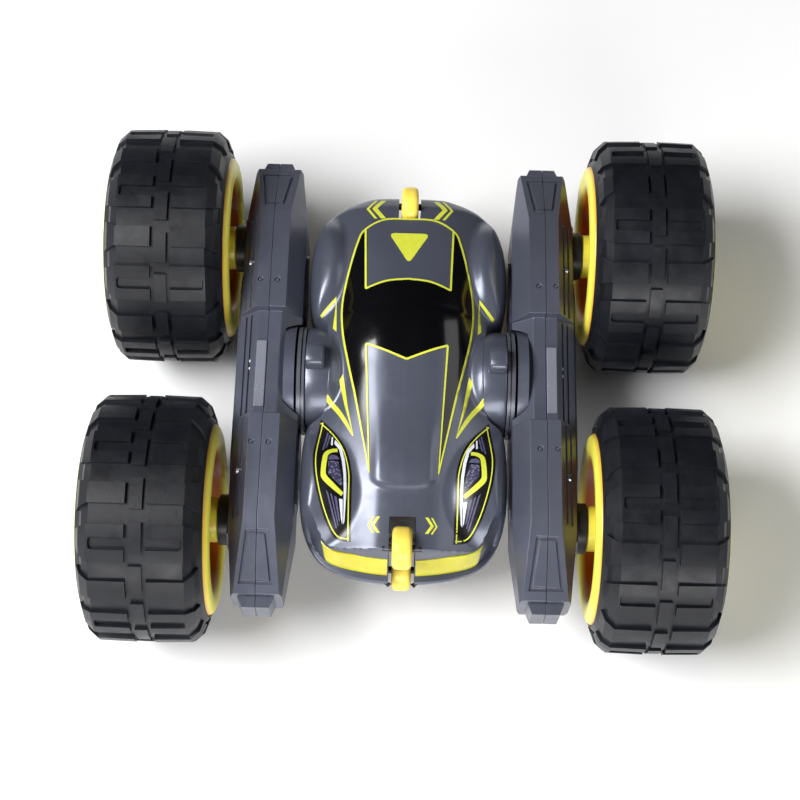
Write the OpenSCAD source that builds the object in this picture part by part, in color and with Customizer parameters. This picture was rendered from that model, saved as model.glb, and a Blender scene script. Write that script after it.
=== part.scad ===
// Double-sided stunt car: a car body hung between two swing arms, with two
// driven balloon wheels on each arm. All sizes are in millimetres.
// X runs across the car, the front faces -Y, and +Z is up from the ground.

/* [Wheels] */
// Diameter over the tread lugs
tyre_d = 68; // [66:0.5:70]
// Width of a tyre over its sidewalls
tyre_w = 33; // [32.5:0.5:34]
// Distance between the middles of the left and right tyres
track = 137.4; // [137.4:0.2:140]
// Distance between the front and rear axles
wheelbase = 84; // [84:1:84]
// Outer diameter of the yellow rim lip
rim_d = 52.7; // [51:0.1:53]
// How far each tread lug stands above the groove
lug_h = 1.1; // [0.6:0.1:1.4]
// Big lugs around one row of the tread
lug_count = 8; // [6:1:9]
// Small blocks around the middle band of the tread
band_count = 18; // [12:1:20]

/* [Swing arms] */
// Distance from the middle of the car to an arm's inner face
arm_in = 30.2; // [30:0.1:30.6]
// Distance from the middle of the car to an arm's outer face
arm_out = 47.2; // [47.2:0.1:47.5]
// Overall height of an arm
arm_h = 31.2; // [30:0.1:32]
// Length of an arm between its end faces
arm_len = 127.2; // [126:0.2:130]
// Wall thickness of the arm and body shells
wall = 1.4; // [1.2:0.1:1.5]

/* [Car body] */
// Height of the roof above the axle line
roof_h = 20.4; // [19:0.1:21]
// Depth of the belly below the axle line
belly_h = 17; // [16:0.1:18]
// Radius of the round housing around each arm's pivot
housing_r = 15.2; // [14.5:0.1:15.5]
// Thickness of the dark canopy glass
glass_t = 1.2; // [0.8:0.1:1.4]

/* [End rollers] */
// Diameter of a bumper roller
roller_d = 11.6; // [11:0.1:11.6]
// Width of a bumper roller
roller_w = 5.4; // [5:0.1:5.8]
// Height of a roller's pin above or below the axle line
roller_z = 10.2; // [9.8:0.1:10.2]
// Distance from the middle of the car to a front roller's pin
roller_front_y = 52.1; // [51.8:0.1:52.4]
// Distance from the middle of the car to a rear roller's pin
roller_rear_y = 51.5; // [51.5:0.1:51.8]

/* [Gear train] */
// Module of every gear
gear_m = 0.7; // [0.7:0.1:0.7]
// Teeth on the axle gears, the idlers and the centre gear
train_teeth = 30; // [30:1:30]
// Teeth on the large wheel of the drive idler
drive_teeth = 32; // [32:1:32]
// Teeth on the motor pinion
pinion_teeth = 9; // [9:1:9]

/* [Hidden] */
$fn = 64;
axle_z = tyre_d / 2;
wheel_x = track / 2;
wheel_y = wheelbase / 2;
eps = 0.02;            // overshoot that keeps cuts clean
shaft_gap = 0.06;      // radial clearance of every running fit
seam_x = 39.3;         // plane where an arm's two shells meet
band_half = 4.3;       // half the width of an arm's flat top band
arm_shoulder = 6.6;    // drop from an arm's flat top to its widest line

// Layers inside an arm, measured from the middle of the car
motor_in = 32.2;
motor_out = 39.4;
drive_in = 39.8;
drive_out = 42.1;
train_in = 42.4;
train_out = 43.9;
pin_end = 46.8;

// Pitch radii and the places that follow from them
train_r = gear_m * train_teeth / 2;
drive_r = gear_m * drive_teeth / 2;
pinion_r = gear_m * pinion_teeth / 2;
idler_y = 2 * train_r;
motor_y = idler_y + drive_r + pinion_r;
gear_pin_r = 1;
motor_r = 8.5;
motor_shaft_r = 0.8;

// Pivot between the body and an arm
pivot_tube_r = 7;
pivot_bore_r = 4.5;
flange_r = 15.6;
flange_in = 31;
pocket_x = 34;         // floor of the round pocket in the inner shell
pocket_r = flange_r + 0.8;
housing_x = 28.2;      // end face of the body's pivot housing

// Wheel hub
stub_r = 2.5;
boss_r = 7;
boss_x = 50.2;
hub_r = 6.3;
hub_in = 50.4;
hub_out = 78.7;
stub_end = 74;
screw_r = 1.2;

// Body
notch_half = 3.7;      // half the width of a roller bay
bay_wall = 2;
bay_front_y = 43.9;    // inner ends of the two roller bays
bay_rear_y = 45.5;
lens_half = 22.5;
lens_low = 0;
lens_high = 8;
post_x = 17;
post_y = 36;
post_r = 3.2;
battery = [30, 48, 13];
battery_at = [0, -4, 26];
door = [34, 54];
door_t = 1.3;
board_z = 38;
switch_y = 37;
switch_travel = 4;

// ---- helpers ----

// Lies a solid drawn along +Z down along +X.
module along_x() { rotate([90, 0, 90]) children(); }

// A rod along X from x0 to x1 with its axis at height z above the axle line.
module rod_x(x0, x1, r, y = 0, z = 0) {
    translate([x0, y, axle_z + z]) along_x() cylinder(r = r, h = x1 - x0);
}

// Places a shape drawn about the right-hand side on either side.
module on_side(side) {
    if (side > 0) children();
    else mirror([1, 0, 0]) children();
}

// The outline a half-outline gives when it is mirrored in its first value.
function both_sides(half) = concat(
    half, [for (i = [len(half) - 1 : -1 : 0]) if (half[i][0] > 0) [-half[i][0], half[i][1]]]);

// Shrinks an outline towards the origin by g on each side of its longest reach.
function inset(pts, g) =
    let (w = max([for (p = pts) abs(p[0])]), h = max([for (p = pts) abs(p[1])]))
    [for (p = pts) [p[0] * (w - g) / w, p[1] * (h - g) / h]];

// ---- gears ----

function involute_angle(r, base_r) =
    r <= base_r ? 0 : sqrt(pow(r / base_r, 2) - 1) * 180 / PI - acos(base_r / r);

// Outline of a spur gear with a tooth centred on its first axis.
function gear_outline(teeth, backlash = 0.14) =
    let (
        r = gear_m * teeth / 2,
        base_r = r * cos(20),
        tip_r = r + 0.92 * gear_m,
        root_r = r - 1.2 * gear_m,
        half = (90 - backlash / r * 90 / PI * 2) / teeth,
        turn = involute_angle(r, base_r),
        radii = [max(root_r, base_r), r, tip_r]
    )
    [for (i = [0 : teeth - 1]) let (a = i * 360 / teeth) each concat(
        [[root_r * cos(a - half - turn), root_r * sin(a - half - turn)]],
        [for (q = radii) let (b = a - half - turn + involute_angle(q, base_r))
            [q * cos(b), q * sin(b)]],
        [for (k = [2 : -1 : 0]) let (q = radii[k], b = a + half + turn - involute_angle(q, base_r))
            [q * cos(b), q * sin(b)]],
        [[root_r * cos(a + half + turn), root_r * sin(a + half + turn)]])];

// A gear lying along X between x0 and x1, its tooth turned to the angle given.
module gear_x(teeth, x0, x1, y, angle, bore_r) {
    translate([x0, y, axle_z]) along_x() linear_extrude(x1 - x0) difference() {
        rotate(angle) polygon(gear_outline(teeth));
        circle(r = bore_r);
    }
}

// ---- swing arm ----

function arm_side(g) =
    let (h = arm_h / 2 - g, e = arm_len / 2 - g, end_h = 7.2 - g * 0.5)
    concat(
        [for (s = [-1, 1]) each s < 0
            ? [[-e, end_h], [-46, h], [-16.5, h], [-13.5, h - 2.5]]
            : [[13.5, h - 2.5], [16.5, h], [46, h], [e, end_h]]],
        [for (s = [1, -1]) each s > 0
            ? [[e, -end_h], [46, -h], [16.5, -h], [13.5, 2.5 - h]]
            : [[-13.5, 2.5 - h], [-16.5, -h], [-46, -h], [-e, -end_h]]]);

function arm_section(g) =
    let (
        mid = (arm_in + arm_out) / 2,
        top = arm_h / 2 - g,
        low = arm_h / 2 - arm_shoulder - g * 0.45,
        b = band_half - g * 0.45)
    [[arm_in + g, low], [mid - b, top], [mid + b, top], [arm_out - g, low],
     [arm_out - g, -low], [mid + b, -top], [mid - b, -top], [arm_in + g, -low]];

function arm_plan(g) =
    let (e = arm_len / 2 - g)
    [[arm_in + g, -46], [arm_in + g, 46], [arm_in + 1.2 + g, e], [arm_out - 1.6 - g, e],
     [arm_out - g, 46], [arm_out - g, -46], [arm_out - 1.6 - g, -e], [arm_in + 1.2 + g, -e]];

module arm_solid(g = 0) {
    intersection() {
        translate([arm_in - 1, 0, axle_z]) along_x()
            linear_extrude(arm_out - arm_in + 2) polygon(arm_side(g));
        translate([0, arm_len / 2, axle_z]) rotate([90, 0, 0])
            linear_extrude(arm_len) polygon(arm_section(g));
        translate([0, 0, axle_z - arm_h]) linear_extrude(2 * arm_h) polygon(arm_plan(g));
    }
}

// The small nose at each end of an arm, one half on either shell.
module arm_nose(x0, x1) {
    for (s = [-1, 1]) translate([0, s * (arm_len / 2 - 0.5), axle_z])
        intersection() {
            linear_extrude(6, center = true)
                polygon([[33.5, 0], [45.1, 0], [42.8, s * 3.3], [35.8, s * 3.3]]);
            translate([x0, -5, -5]) cube([x1 - x0, 10, 10]);
        }
}

screw_places = [[-57.6, 0], [57.6, 0], [-31.5, 11.6], [31.5, 11.6]];

module arm_inner_shell(side) {
    color("slategray") on_side(side) difference() {
        union() {
            intersection() {
                difference() { arm_solid(); arm_solid(wall); }
                translate([arm_in - 1, -arm_len, 0]) cube([seam_x - arm_in + 1, 2 * arm_len, 80]);
            }
            arm_nose(30, seam_x);
            intersection() {
                arm_solid();
                union() {
                    rod_x(arm_in - 1, pocket_x + wall, pocket_r + wall);
                    for (s = [-1, 1]) rod_x(arm_in - 1, seam_x, 2.5, s * idler_y);
                    for (p = screw_places) rod_x(arm_in - 1, seam_x, 2.9, p[0], p[1]);
                }
            }
        }
        rod_x(arm_in - 2, pocket_x, pocket_r);
        rod_x(pocket_x - 1, pocket_x + wall + 1, pivot_tube_r + eps);
        for (s = [-1, 1]) rod_x(33, 40, gear_pin_r + eps, s * idler_y);
        for (p = screw_places) {
            rod_x(arm_in - 1, 35.2, 2, p[0], p[1]);
            rod_x(34, seam_x + 1, screw_r + 0.2, p[0], p[1]);
        }
    }
}

module arm_outer_shell(side) {
    color("slategray") on_side(side) difference() {
        union() {
            intersection() {
                difference() { arm_solid(); arm_solid(wall); }
                translate([seam_x, -arm_len, 0]) cube([20, 2 * arm_len, 80]);
            }
            arm_nose(seam_x, 48);
            intersection() {
                arm_solid();
                union() {
                    for (y = [-idler_y, 0, idler_y]) rod_x(45.2, arm_out + 1, 2.6, y);
                    for (s = [-1, 1]) rod_x(46, arm_out + 1, boss_r - 0.8, s * wheel_y);
                    for (p = screw_places) rod_x(seam_x, 47, 2.9, p[0], p[1]);
                }
            }
        }
        for (y = [-idler_y, 0, idler_y]) rod_x(40, pin_end, gear_pin_r + eps, y);
        for (s = [-1, 1]) rod_x(45, 50, 4.02, s * wheel_y);
        for (p = screw_places) rod_x(seam_x - 1, 45.5, screw_r, p[0], p[1]);
    }
}

// Flange and hollow tube that carry an arm on the body; the leads pass inside.
module pivot_hub(side) {
    color("dimgray") on_side(side) difference() {
        union() {
            rod_x(flange_in, pocket_x, flange_r);
            rod_x(24.2, 36.4, pivot_tube_r);
            rod_x(22.4, 24.2, pivot_tube_r + 1.6);
        }
        rod_x(20, 40, pivot_bore_r);
    }
}

module motor(side) {
    color("silver") on_side(side) {
        rod_x(motor_in, motor_out, motor_r, motor_y);
        rod_x(motor_out - eps, drive_out, motor_shaft_r, motor_y);
    }
}

module motor_pinion(side) {
    color("gold") on_side(side)
        gear_x(pinion_teeth, drive_in, drive_out, motor_y, 180 / pinion_teeth + 180,
               motor_shaft_r + 0.03);
}

// The drive idler is one moulding: a large wheel beside a train gear.
module drive_idler(side) {
    color("white") on_side(side) {
        gear_x(drive_teeth, drive_in, drive_out, idler_y, 0, gear_pin_r + shaft_gap);
        gear_x(train_teeth, train_in, train_out, idler_y, 180 / train_teeth,
               gear_pin_r + shaft_gap);
        difference() {
            rod_x(drive_out - eps, train_in + eps, 3.2, idler_y);
            rod_x(drive_out - 1, train_in + 1, gear_pin_r + shaft_gap, idler_y);
        }
    }
}

module train_gear(side, y, angle) {
    color("white") on_side(side)
        gear_x(train_teeth, train_in, train_out, y, angle, gear_pin_r + shaft_gap);
}

module gear_pins(side) {
    color("silver") on_side(side) {
        for (s = [-1, 1]) rod_x(33, pin_end, gear_pin_r, s * idler_y);
        rod_x(41.4, pin_end, gear_pin_r);
    }
}

module axle_bosses(side) {
    color("black") on_side(side) for (s = [-1, 1]) difference() {
        union() {
            rod_x(arm_out, boss_x, boss_r, s * wheel_y);
            rod_x(45.2, arm_out + eps, 4, s * wheel_y);
        }
        rod_x(44, 54, stub_r + shaft_gap, s * wheel_y);
    }
}

module arm_screws(side) {
    color("silver") on_side(side) for (p = screw_places) difference() {
        union() {
            rod_x(33.6, 35, 1.9, p[0], p[1]);
            rod_x(35 - eps, 45.4, screw_r, p[0], p[1]);
        }
        for (a = [0, 90]) translate([33.6, p[0], axle_z + p[1]]) rotate([a, 0, 0])
            cube([1.4, 2.4, 0.5], center = true);
    }
}

// ---- wheels ----

// Carcass of a tyre, hollow inside, as radius and distance across the wheel.
function tyre_profile() =
    let (r = tyre_d / 2 - lug_h, w = tyre_w / 2, lip = rim_d / 2 + 0.1)
    [[lip, -w + 0.8], [lip + 2.2, -w], [r - 2.6, -w + 1.9], [r - 0.6, -11.8], [r, 0],
     [r - 0.6, 11.8], [r - 2.6, w - 1.9], [lip + 2.2, w], [lip, w - 0.8],
     [lip, w - 3], [lip + 1.6, w - 3.4], [r - 3.6, 10], [r - 3.2, 0], [r - 3.6, -10],
     [lip + 1.6, -w + 3.4], [lip, -w + 3]];

// One tread block of the row on the far side, rooted inside the carcass.
function lug_profile() =
    let (r = tyre_d / 2, root = r - lug_h - 1.5)
    [[root, 2.6], [r, 2.6], [r - 0.4, 12], [r - 2.2, 14.5], [r - 5, 15.9], [root - 2.6, 13.6],
     [root - 0.6, 11]];

module block(start, sweep) {
    rotate([0, 0, start]) rotate_extrude(angle = sweep) polygon(lug_profile());
}

// Each repeat of a row has a split lug, two legs wide, and a single small one.
module tread() {
    step = 360 / lug_count;
    for (i = [0 : lug_count - 1], m = [0, 1]) mirror([0, 0, m]) {
        block(i * step, step * 0.13);
        block(i * step + step * 0.25, step * 0.13);
        block(i * step + step * 0.59, step * 0.21);
    }
    for (i = [0 : band_count - 1])
        rotate([0, 0, i * 360 / band_count]) rotate_extrude(angle = 250 / band_count)
            polygon([[tyre_d / 2 - 2.4, -1.7], [tyre_d / 2 - 0.2, -1.7],
                     [tyre_d / 2 - 0.2, 1.7], [tyre_d / 2 - 2.4, 1.7]]);
}

// Places a wheel part; end is -1 for the front axle and +1 for the rear one.
module at_wheel(side, end) {
    on_side(side) translate([wheel_x, end * wheel_y, axle_z]) along_x() children();
}

module tyre(side, end) {
    color("#1d1f24") at_wheel(side, end) {
        rotate_extrude() polygon(tyre_profile());
        tread();
    }
}

module rim(side, end) {
    lip = rim_d / 2;
    dish = 19.8;
    w = tyre_w / 2;
    face = w + 1.6;
    hub0 = hub_in - wheel_x;
    hub1 = hub_out - wheel_x;
    spoke_count = 6;
    color("gold") at_wheel(side, end) {
        rotate_extrude() polygon([
            [dish, -face], [lip, -face], [lip, -w + 3], [lip - 1.6, -w + 3.4],
            [lip - 1.6, w - 3.4], [lip, w - 3], [lip, w - 0.6], [lip - 2.4, w - 0.6],
            [lip - 3.2, hub1 + 1.6], [hub_r, hub1], [screw_r + 2.2, hub1],
            [screw_r + 0.3, hub1], [screw_r + 0.3, stub_end + 0.2 - wheel_x],
            [stub_r + eps, stub_end + 0.2 - wheel_x], [stub_r + eps, hub0], [hub_r, hub0],
            [hub_r, hub1 - 2], [dish - 1.4, hub1 - 2], [dish, -w]]);
        for (i = [0 : spoke_count - 1]) rotate([0, 0, i * 360 / spoke_count])
            translate([4.5, -2.2, hub1 - 0.5]) cube([lip - 7, 4.4, 3]);
    }
}

// The axle gear and its stub are one moulding, bored for the wheel screw.
module stub_axle(side, end) {
    color("ivory") on_side(side) difference() {
        union() {
            gear_x(train_teeth, train_in, train_out, end * wheel_y, 0, gear_pin_r);
            rod_x(train_in, stub_end, stub_r, end * wheel_y);
        }
        rod_x(62, stub_end + 1, screw_r + eps, end * wheel_y);
    }
}

module wheel_screw(side, end) {
    color("silver") on_side(side) difference() {
        union() {
            rod_x(62.5, hub_out + eps, screw_r, end * wheel_y);
            rod_x(hub_out, hub_out + 1.8, 3, end * wheel_y);
        }
        for (a = [0, 90]) translate([hub_out + 1.8, end * wheel_y, axle_z]) rotate([a, 0, 0])
            cube([1.8, 3.6, 0.7], center = true);
    }
}

// ---- car body ----

plan_half = [[0, 57], [12, 56.4], [20, 52.5], [25.4, 45.5], [28, 36], [28.2, 24], [26.8, 16.5],
             [22.8, 11.5], [22.8, -11.5], [27, -16.5], [28.4, -25], [28.4, -38], [26.8, -46],
             [22.6, -53.4], [15, -57.3], [7, -58.8], [0, -59.2]];

// Outline down the middle of the car: along it, and up from the axle line.
side_pts = [[-59.2, -2.6], [-59.2, -0.6], [-57.2, 0], [-55.2, 8], [-52.6, 11.4], [-44, 13.2],
            [-30, 14.9], [-14, 16.8], [-2, 18.6], [6, roof_h - 0.2], [14, roof_h], [22, roof_h - 1.2],
            [33, 17], [45, 14.2], [52.4, 12], [56.2, 6], [57, 0], [56.6, -5], [54, -10.4],
            [48.6, -14.8], [42, -belly_h], [-42, -belly_h], [-49, -14.8], [-54.8, -10.6]];

// Cross-section of the cabin and belly: across from the middle, and up.
section_half = [[0, roof_h], [6, roof_h - 0.2], [11, roof_h - 1.4], [15, roof_h - 3.6],
                [18.2, 13.8], [20.5, 11.6], [26, 8], [28.2, 3], [28.4, 0], [28, -4], [25, -12],
                [21, -belly_h], [0, -belly_h]];

// Cross-section over the wheel-arch shoulders.
shoulder_half = [[0, 16], [20, 15.8], [24.5, 14], [27, 10.6], [28.2, 6], [28.4, -1], [0, -1]];

module across(half, g) {
    translate([0, 60, axle_z]) rotate([90, 0, 0]) linear_extrude(120)
        polygon(inset(both_sides(half), g));
}

module body_solid(g = 0) {
    intersection() {
        linear_extrude(80) polygon(inset(both_sides(plan_half), g));
        union() {
            intersection() {
                across(section_half, g);
                translate([-40, 0, axle_z]) along_x() linear_extrude(80)
                    polygon(inset(side_pts, g));
            }
            intersection() {
                across(shoulder_half, g);
                union() {
                    rod_x(-40, 40, 22.4 - g, 31, -7);
                    rod_x(-40, 40, 21.6 - g, -33, -8);
                }
            }
        }
    }
}

module above() { translate([-60, -80, axle_z]) cube([120, 160, 60]); }
module below() { translate([-60, -80, axle_z - 60]) cube([120, 160, 60]); }

// Round housings where the arms' pivots enter the body.
module housings() {
    for (s = [-1, 1]) on_side(s) {
        rod_x(20.6, housing_x, housing_r);
        rod_x(22.4, housing_x, 3.3, 0.9, 16);
    }
}

module housing_bores() {
    for (s = [-1, 1]) on_side(s) {
        rod_x(19, 24.5, pivot_tube_r + 2.4);
        rod_x(24, housing_x + 1, pivot_tube_r + shaft_gap);
    }
}

// The two bays that hold the rollers, walls included when g is above 0.
module bays(g) {
    for (s = [-1, 1])
        translate([-notch_half - g, s > 0 ? bay_rear_y - g : -80, 0])
            cube([2 * (notch_half + g), 80 - (s > 0 ? bay_rear_y : bay_front_y) + g, 80]);
}

module roller_pin_rods(r) {
    for (y = [-roller_front_y, roller_rear_y], z = [-roller_z, roller_z]) rod_x(-5.3, 5.3, r, y, z);
}

module shell_walls() {
    difference() {
        union() {
            difference() { body_solid(); body_solid(wall); }
            intersection() { body_solid(); bays(bay_wall); }
            housings();
        }
        bays(0);
        housing_bores();
        roller_pin_rods(1 + eps);
    }
}

module lens_zone(g) {
    difference() {
        translate([-lens_half - g, -70, axle_z + lens_low - g])
            cube([2 * (lens_half + g), 30, lens_high - lens_low + 2 * g]);
        bays(bay_wall - g);
    }
}

// Half plan of the tinted glass: it wraps the roof, with two points that run
// forward beside the bonnet and two that run back beside the tail panel.
canopy_half = [[0, 23.9], [11.9, 21.1], [12.6, 42], [14.7, 37.3], [17.4, 25.4], [18.5, 17],
               [17.9, 8.2], [15.8, -2], [13.6, -11.5], [9.4, -32], [11.3, 4], [0, -0.6]];

// The block over the roof that the glass is cut from.
module canopy_zone() {
    translate([0, 0, axle_z + 9]) linear_extrude(20) polygon(both_sides(canopy_half));
}

module upper_shell() {
    color("slategray") difference() {
        union() {
            intersection() { shell_walls(); above(); }
            difference() {
                intersection() {
                    body_solid(0.3);
                    for (x = [-post_x, post_x], y = [-post_y, post_y])
                        translate([x, y, axle_z]) cylinder(r = post_r, h = 20);
                }
                for (x = [-post_x, post_x], y = [-post_y, post_y])
                    translate([x, y, axle_z - 1]) cylinder(r = 1.3, h = 8);
            }
        }
        lens_zone(0.1);
        difference() { canopy_zone(); body_solid(glass_t); }
    }
}

module canopy_glass() {
    color("black") intersection() {
        difference() { body_solid(); body_solid(glass_t); }
        canopy_zone();
    }
}

module lower_shell() {
    color("slategray") difference() {
        union() {
            intersection() { shell_walls(); below(); }
            for (x = [-post_x, post_x], y = [-post_y, post_y])
                translate([x, y, axle_z - belly_h + 0.5]) cylinder(r = post_r, h = belly_h - 0.5);
            translate([-7.5, switch_y - 4.5, axle_z - belly_h]) cube([15, 9, 2.6]);
        }
        lens_zone(0.1);
        translate([-door[0] / 2 - 0.15, battery_at[1] - door[1] / 2 - 0.15, 0])
            cube([door[0] + 0.3, door[1] + 0.3, axle_z - belly_h + wall + 0.4]);
        for (x = [-post_x, post_x], y = [-post_y, post_y]) translate([x, y, 0]) {
            cylinder(r = 1.5, h = 60);
            cylinder(r = 2.5, h = axle_z - belly_h + 3);
        }
        translate([-4.6 , switch_y - 1.8, 0]) cube([9.2, 3.6, 60]);
    }
}

// One half of the front light, left or right of the roller bay.
module headlamp_lens(side) {
    color("yellow") intersection() {
        difference() { body_solid(); body_solid(wall); }
        lens_zone(0);
        on_side(side) translate([0, -80, 0]) cube([60, 80, 80]);
    }
}

module headlamp_boards() {
    color("green") for (s = [-1, 1]) on_side(s) {
        translate([6.4, -50.5, axle_z + 0.4]) cube([11, 1.2, 5]);
        for (x = [9.4, 14.4]) translate([x, -50.4, axle_z + 3]) rotate([90, 0, 0])
            cylinder(r = 1.3, h = 2);
    }
}

module battery_pack() {
    color("royalblue") translate(battery_at) intersection() {
        cube(battery, center = true);
        rotate([90, 0, 0]) linear_extrude(battery[1], center = true) polygon([
            [-15, -4.5], [-13, -6.5], [13, -6.5], [15, -4.5],
            [15, 4.5], [13, 6.5], [-13, 6.5], [-15, 4.5]]);
    }
}

module battery_door() {
    z0 = axle_z - belly_h + 0.2;
    color("dimgray") translate([0, battery_at[1], z0]) difference() {
        union() {
            translate([-door[0] / 2, -door[1] / 2, 0]) cube([door[0], door[1], door_t]);
            for (x = [-9, 9]) translate([x - 3, door[1] / 2 - 2, door_t - eps])
                cube([6, 3.4, 1]);
        }
        for (i = [-3 : 3]) translate([-11, i * 5.5 - 0.7, -1]) cube([22, 1.4, 1.5]);
        translate([0, -door[1] / 2 + 4.4, -1]) cylinder(r = 1.5, h = 5);
    }
}

module circuit_board() {
    color("darkgreen") union() {
        translate([-17, -29, board_z]) cube([34, 58, 1.2]);
        translate([-6, -6, board_z + 1]) cube([8, 8, 1.8]);
        translate([6, 8, board_z + 1]) cube([6, 5, 1.6]);
        translate([-12, 14, board_z + 1]) cube([7, 10, 3]);
        for (x = [-10, 10]) translate([x, -20, board_z + 1]) cylinder(r = 2.5, h = 5);
    }
}

module switch_housing() {
    z0 = axle_z - belly_h + 2.8;
    color("dimgray") difference() {
        translate([-6.5, switch_y - 3.4, z0]) cube([13, 6.8, 5.4]);
        translate([-5, switch_y - 1.9, z0 - 1]) cube([10, 3.8, 4]);
    }
}

module switch_slider() {
    z0 = axle_z - belly_h + 0.5;
    color("black") union() {
        translate([-switch_travel / 2 - 2, switch_y - 1.4, z0]) cube([4, 2.8, 3.4]);
        translate([-switch_travel / 2 - 2.6, switch_y - 1.6, z0 + 3.2]) cube([5.2, 3.2, 1.6]);
    }
}

module case_screws() {
    color("silver") {
        for (x = [-post_x, post_x], y = [-post_y, post_y])
            translate([x, y, axle_z - belly_h + 1.4]) difference() {
                union() {
                    cylinder(r = 2.3, h = 1.6);
                    cylinder(r = 1.28, h = 21);
                }
                for (a = [0, 90]) rotate(a) cube([3, 0.6, 1.4], center = true);
            }
        translate([0, battery_at[1] - door[1] / 2 + 4.4, axle_z - belly_h + 0.2])
            difference() {
                cylinder(r = 1.4, h = 2);
                for (a = [0, 90]) rotate(a) cube([1.8, 0.5, 1], center = true);
            }
    }
}

// ---- end rollers and pivot rings ----

module roller(y, level) {
    r = roller_d / 2;
    w = roller_w / 2;
    translate([0, y, axle_z + level * roller_z]) along_x()
        color("gold") rotate_extrude() polygon([
            [1 + shaft_gap, -w], [r - 1.4, -w], [r - 0.5, -w + 0.4], [r, -w + 1.4],
            [r, w - 1.4], [r - 0.5, w - 0.4], [r - 1.4, w], [1 + shaft_gap, w]]);
}

module roller_pins() { color("dimgray") roller_pin_rods(1); }

module pivot_ring(side) {
    color("darkgray") on_side(side) difference() {
        rod_x(housing_x, 30.3, flange_r - 0.2);
        rod_x(housing_x - 1, 32, pivot_tube_r + 0.4);
        difference() {
            rod_x(28.9, 29.3, flange_r + 1);
            rod_x(28, 30, flange_r - 1);
        }
    }
}

upper_shell();
lower_shell();
canopy_glass();
headlamp_lens(-1);  // headlamp_lens_left
headlamp_lens(1);  // headlamp_lens_right
headlamp_boards();
battery_pack();
battery_door();
circuit_board();
switch_housing();
switch_slider();
case_screws();
roller_pins();
roller(-roller_front_y, 1);  // roller_front_upper
roller(-roller_front_y, -1);  // roller_front_lower
roller(roller_rear_y, 1);  // roller_rear_upper
roller(roller_rear_y, -1);  // roller_rear_lower
pivot_ring(-1);  // pivot_ring_left
pivot_ring(1);  // pivot_ring_right
arm_inner_shell(-1);  // arm_inner_shell_left
arm_outer_shell(-1);  // arm_outer_shell_left
pivot_hub(-1);  // pivot_hub_left
motor(-1);  // motor_left
motor_pinion(-1);  // motor_pinion_left
drive_idler(-1);  // drive_idler_left
train_gear(-1, 0, 0);  // centre_gear_left
train_gear(-1, -idler_y, 180 / train_teeth);  // front_idler_left
gear_pins(-1);  // gear_pins_left
axle_bosses(-1);  // axle_bosses_left
arm_screws(-1);  // arm_screws_left
arm_inner_shell(1);  // arm_inner_shell_right
arm_outer_shell(1);  // arm_outer_shell_right
pivot_hub(1);  // pivot_hub_right
motor(1);  // motor_right
motor_pinion(1);  // motor_pinion_right
drive_idler(1);  // drive_idler_right
train_gear(1, 0, 0);  // centre_gear_right
train_gear(1, -idler_y, 180 / train_teeth);  // front_idler_right
gear_pins(1);  // gear_pins_right
axle_bosses(1);  // axle_bosses_right
arm_screws(1);  // arm_screws_right
tyre(-1, -1);  // tyre_front_left
rim(-1, -1);  // rim_front_left
stub_axle(-1, -1);  // stub_axle_front_left
wheel_screw(-1, -1);  // wheel_screw_front_left
tyre(1, -1);  // tyre_front_right
rim(1, -1);  // rim_front_right
stub_axle(1, -1);  // stub_axle_front_right
wheel_screw(1, -1);  // wheel_screw_front_right
tyre(-1, 1);  // tyre_rear_left
rim(-1, 1);  // rim_rear_left
stub_axle(-1, 1);  // stub_axle_rear_left
wheel_screw(-1, 1);  // wheel_screw_rear_left
tyre(1, 1);  // tyre_rear_right
rim(1, 1);  // rim_rear_right
stub_axle(1, 1);  // stub_axle_rear_right
wheel_screw(1, 1);  // wheel_screw_rear_right
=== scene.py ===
"""Looks of the double-sided stunt car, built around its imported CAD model.

Shapes are written in millimetres with heights measured from the axle line, and are
scaled to metres as each mesh is made. X runs across the car, its front faces -Y.
"""

import math

import bmesh
import bpy
import numpy as np
from mathutils import Matrix, Vector


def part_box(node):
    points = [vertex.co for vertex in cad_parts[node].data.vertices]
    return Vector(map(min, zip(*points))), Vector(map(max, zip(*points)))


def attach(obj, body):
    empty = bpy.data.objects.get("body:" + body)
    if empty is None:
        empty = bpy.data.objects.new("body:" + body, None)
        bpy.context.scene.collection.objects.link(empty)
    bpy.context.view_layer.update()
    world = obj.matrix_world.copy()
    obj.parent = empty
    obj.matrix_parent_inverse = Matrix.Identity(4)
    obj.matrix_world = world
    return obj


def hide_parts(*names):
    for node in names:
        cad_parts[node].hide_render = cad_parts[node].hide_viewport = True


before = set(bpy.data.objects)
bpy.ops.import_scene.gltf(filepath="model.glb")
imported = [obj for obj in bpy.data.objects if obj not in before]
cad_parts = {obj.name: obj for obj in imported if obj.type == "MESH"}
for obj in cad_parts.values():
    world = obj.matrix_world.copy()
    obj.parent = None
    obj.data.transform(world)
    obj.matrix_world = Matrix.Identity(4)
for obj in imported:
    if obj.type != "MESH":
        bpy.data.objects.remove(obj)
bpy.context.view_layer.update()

MM = 0.001
AXLE = 34.0            # height of the axle line above the ground
WHEEL_X = 68.7         # middle of a wheel, across the car
WHEEL_Y = 42.0         # axle, along the car
SIDES = {"left": -1, "right": 1}
ENDS = {"front": -1, "rear": 1}


# ---------------------------------------------------------------- maths

def ramp(x, lo, hi):
    """0 below lo, 1 above hi, and smooth in between."""
    t = np.clip((x - lo) / (hi - lo), 0, 1)
    return t * t * (3 - 2 * t)


def soft_max(a, b, k):
    """The larger of a and b, blended over a band of about k."""
    h = np.clip(0.5 + 0.5 * (a - b) / k, 0, 1)
    return b * (1 - h) + a * h + k * h * (1 - h)


def soft_min(a, b, k):
    return -soft_max(-a, -b, k)


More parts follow.
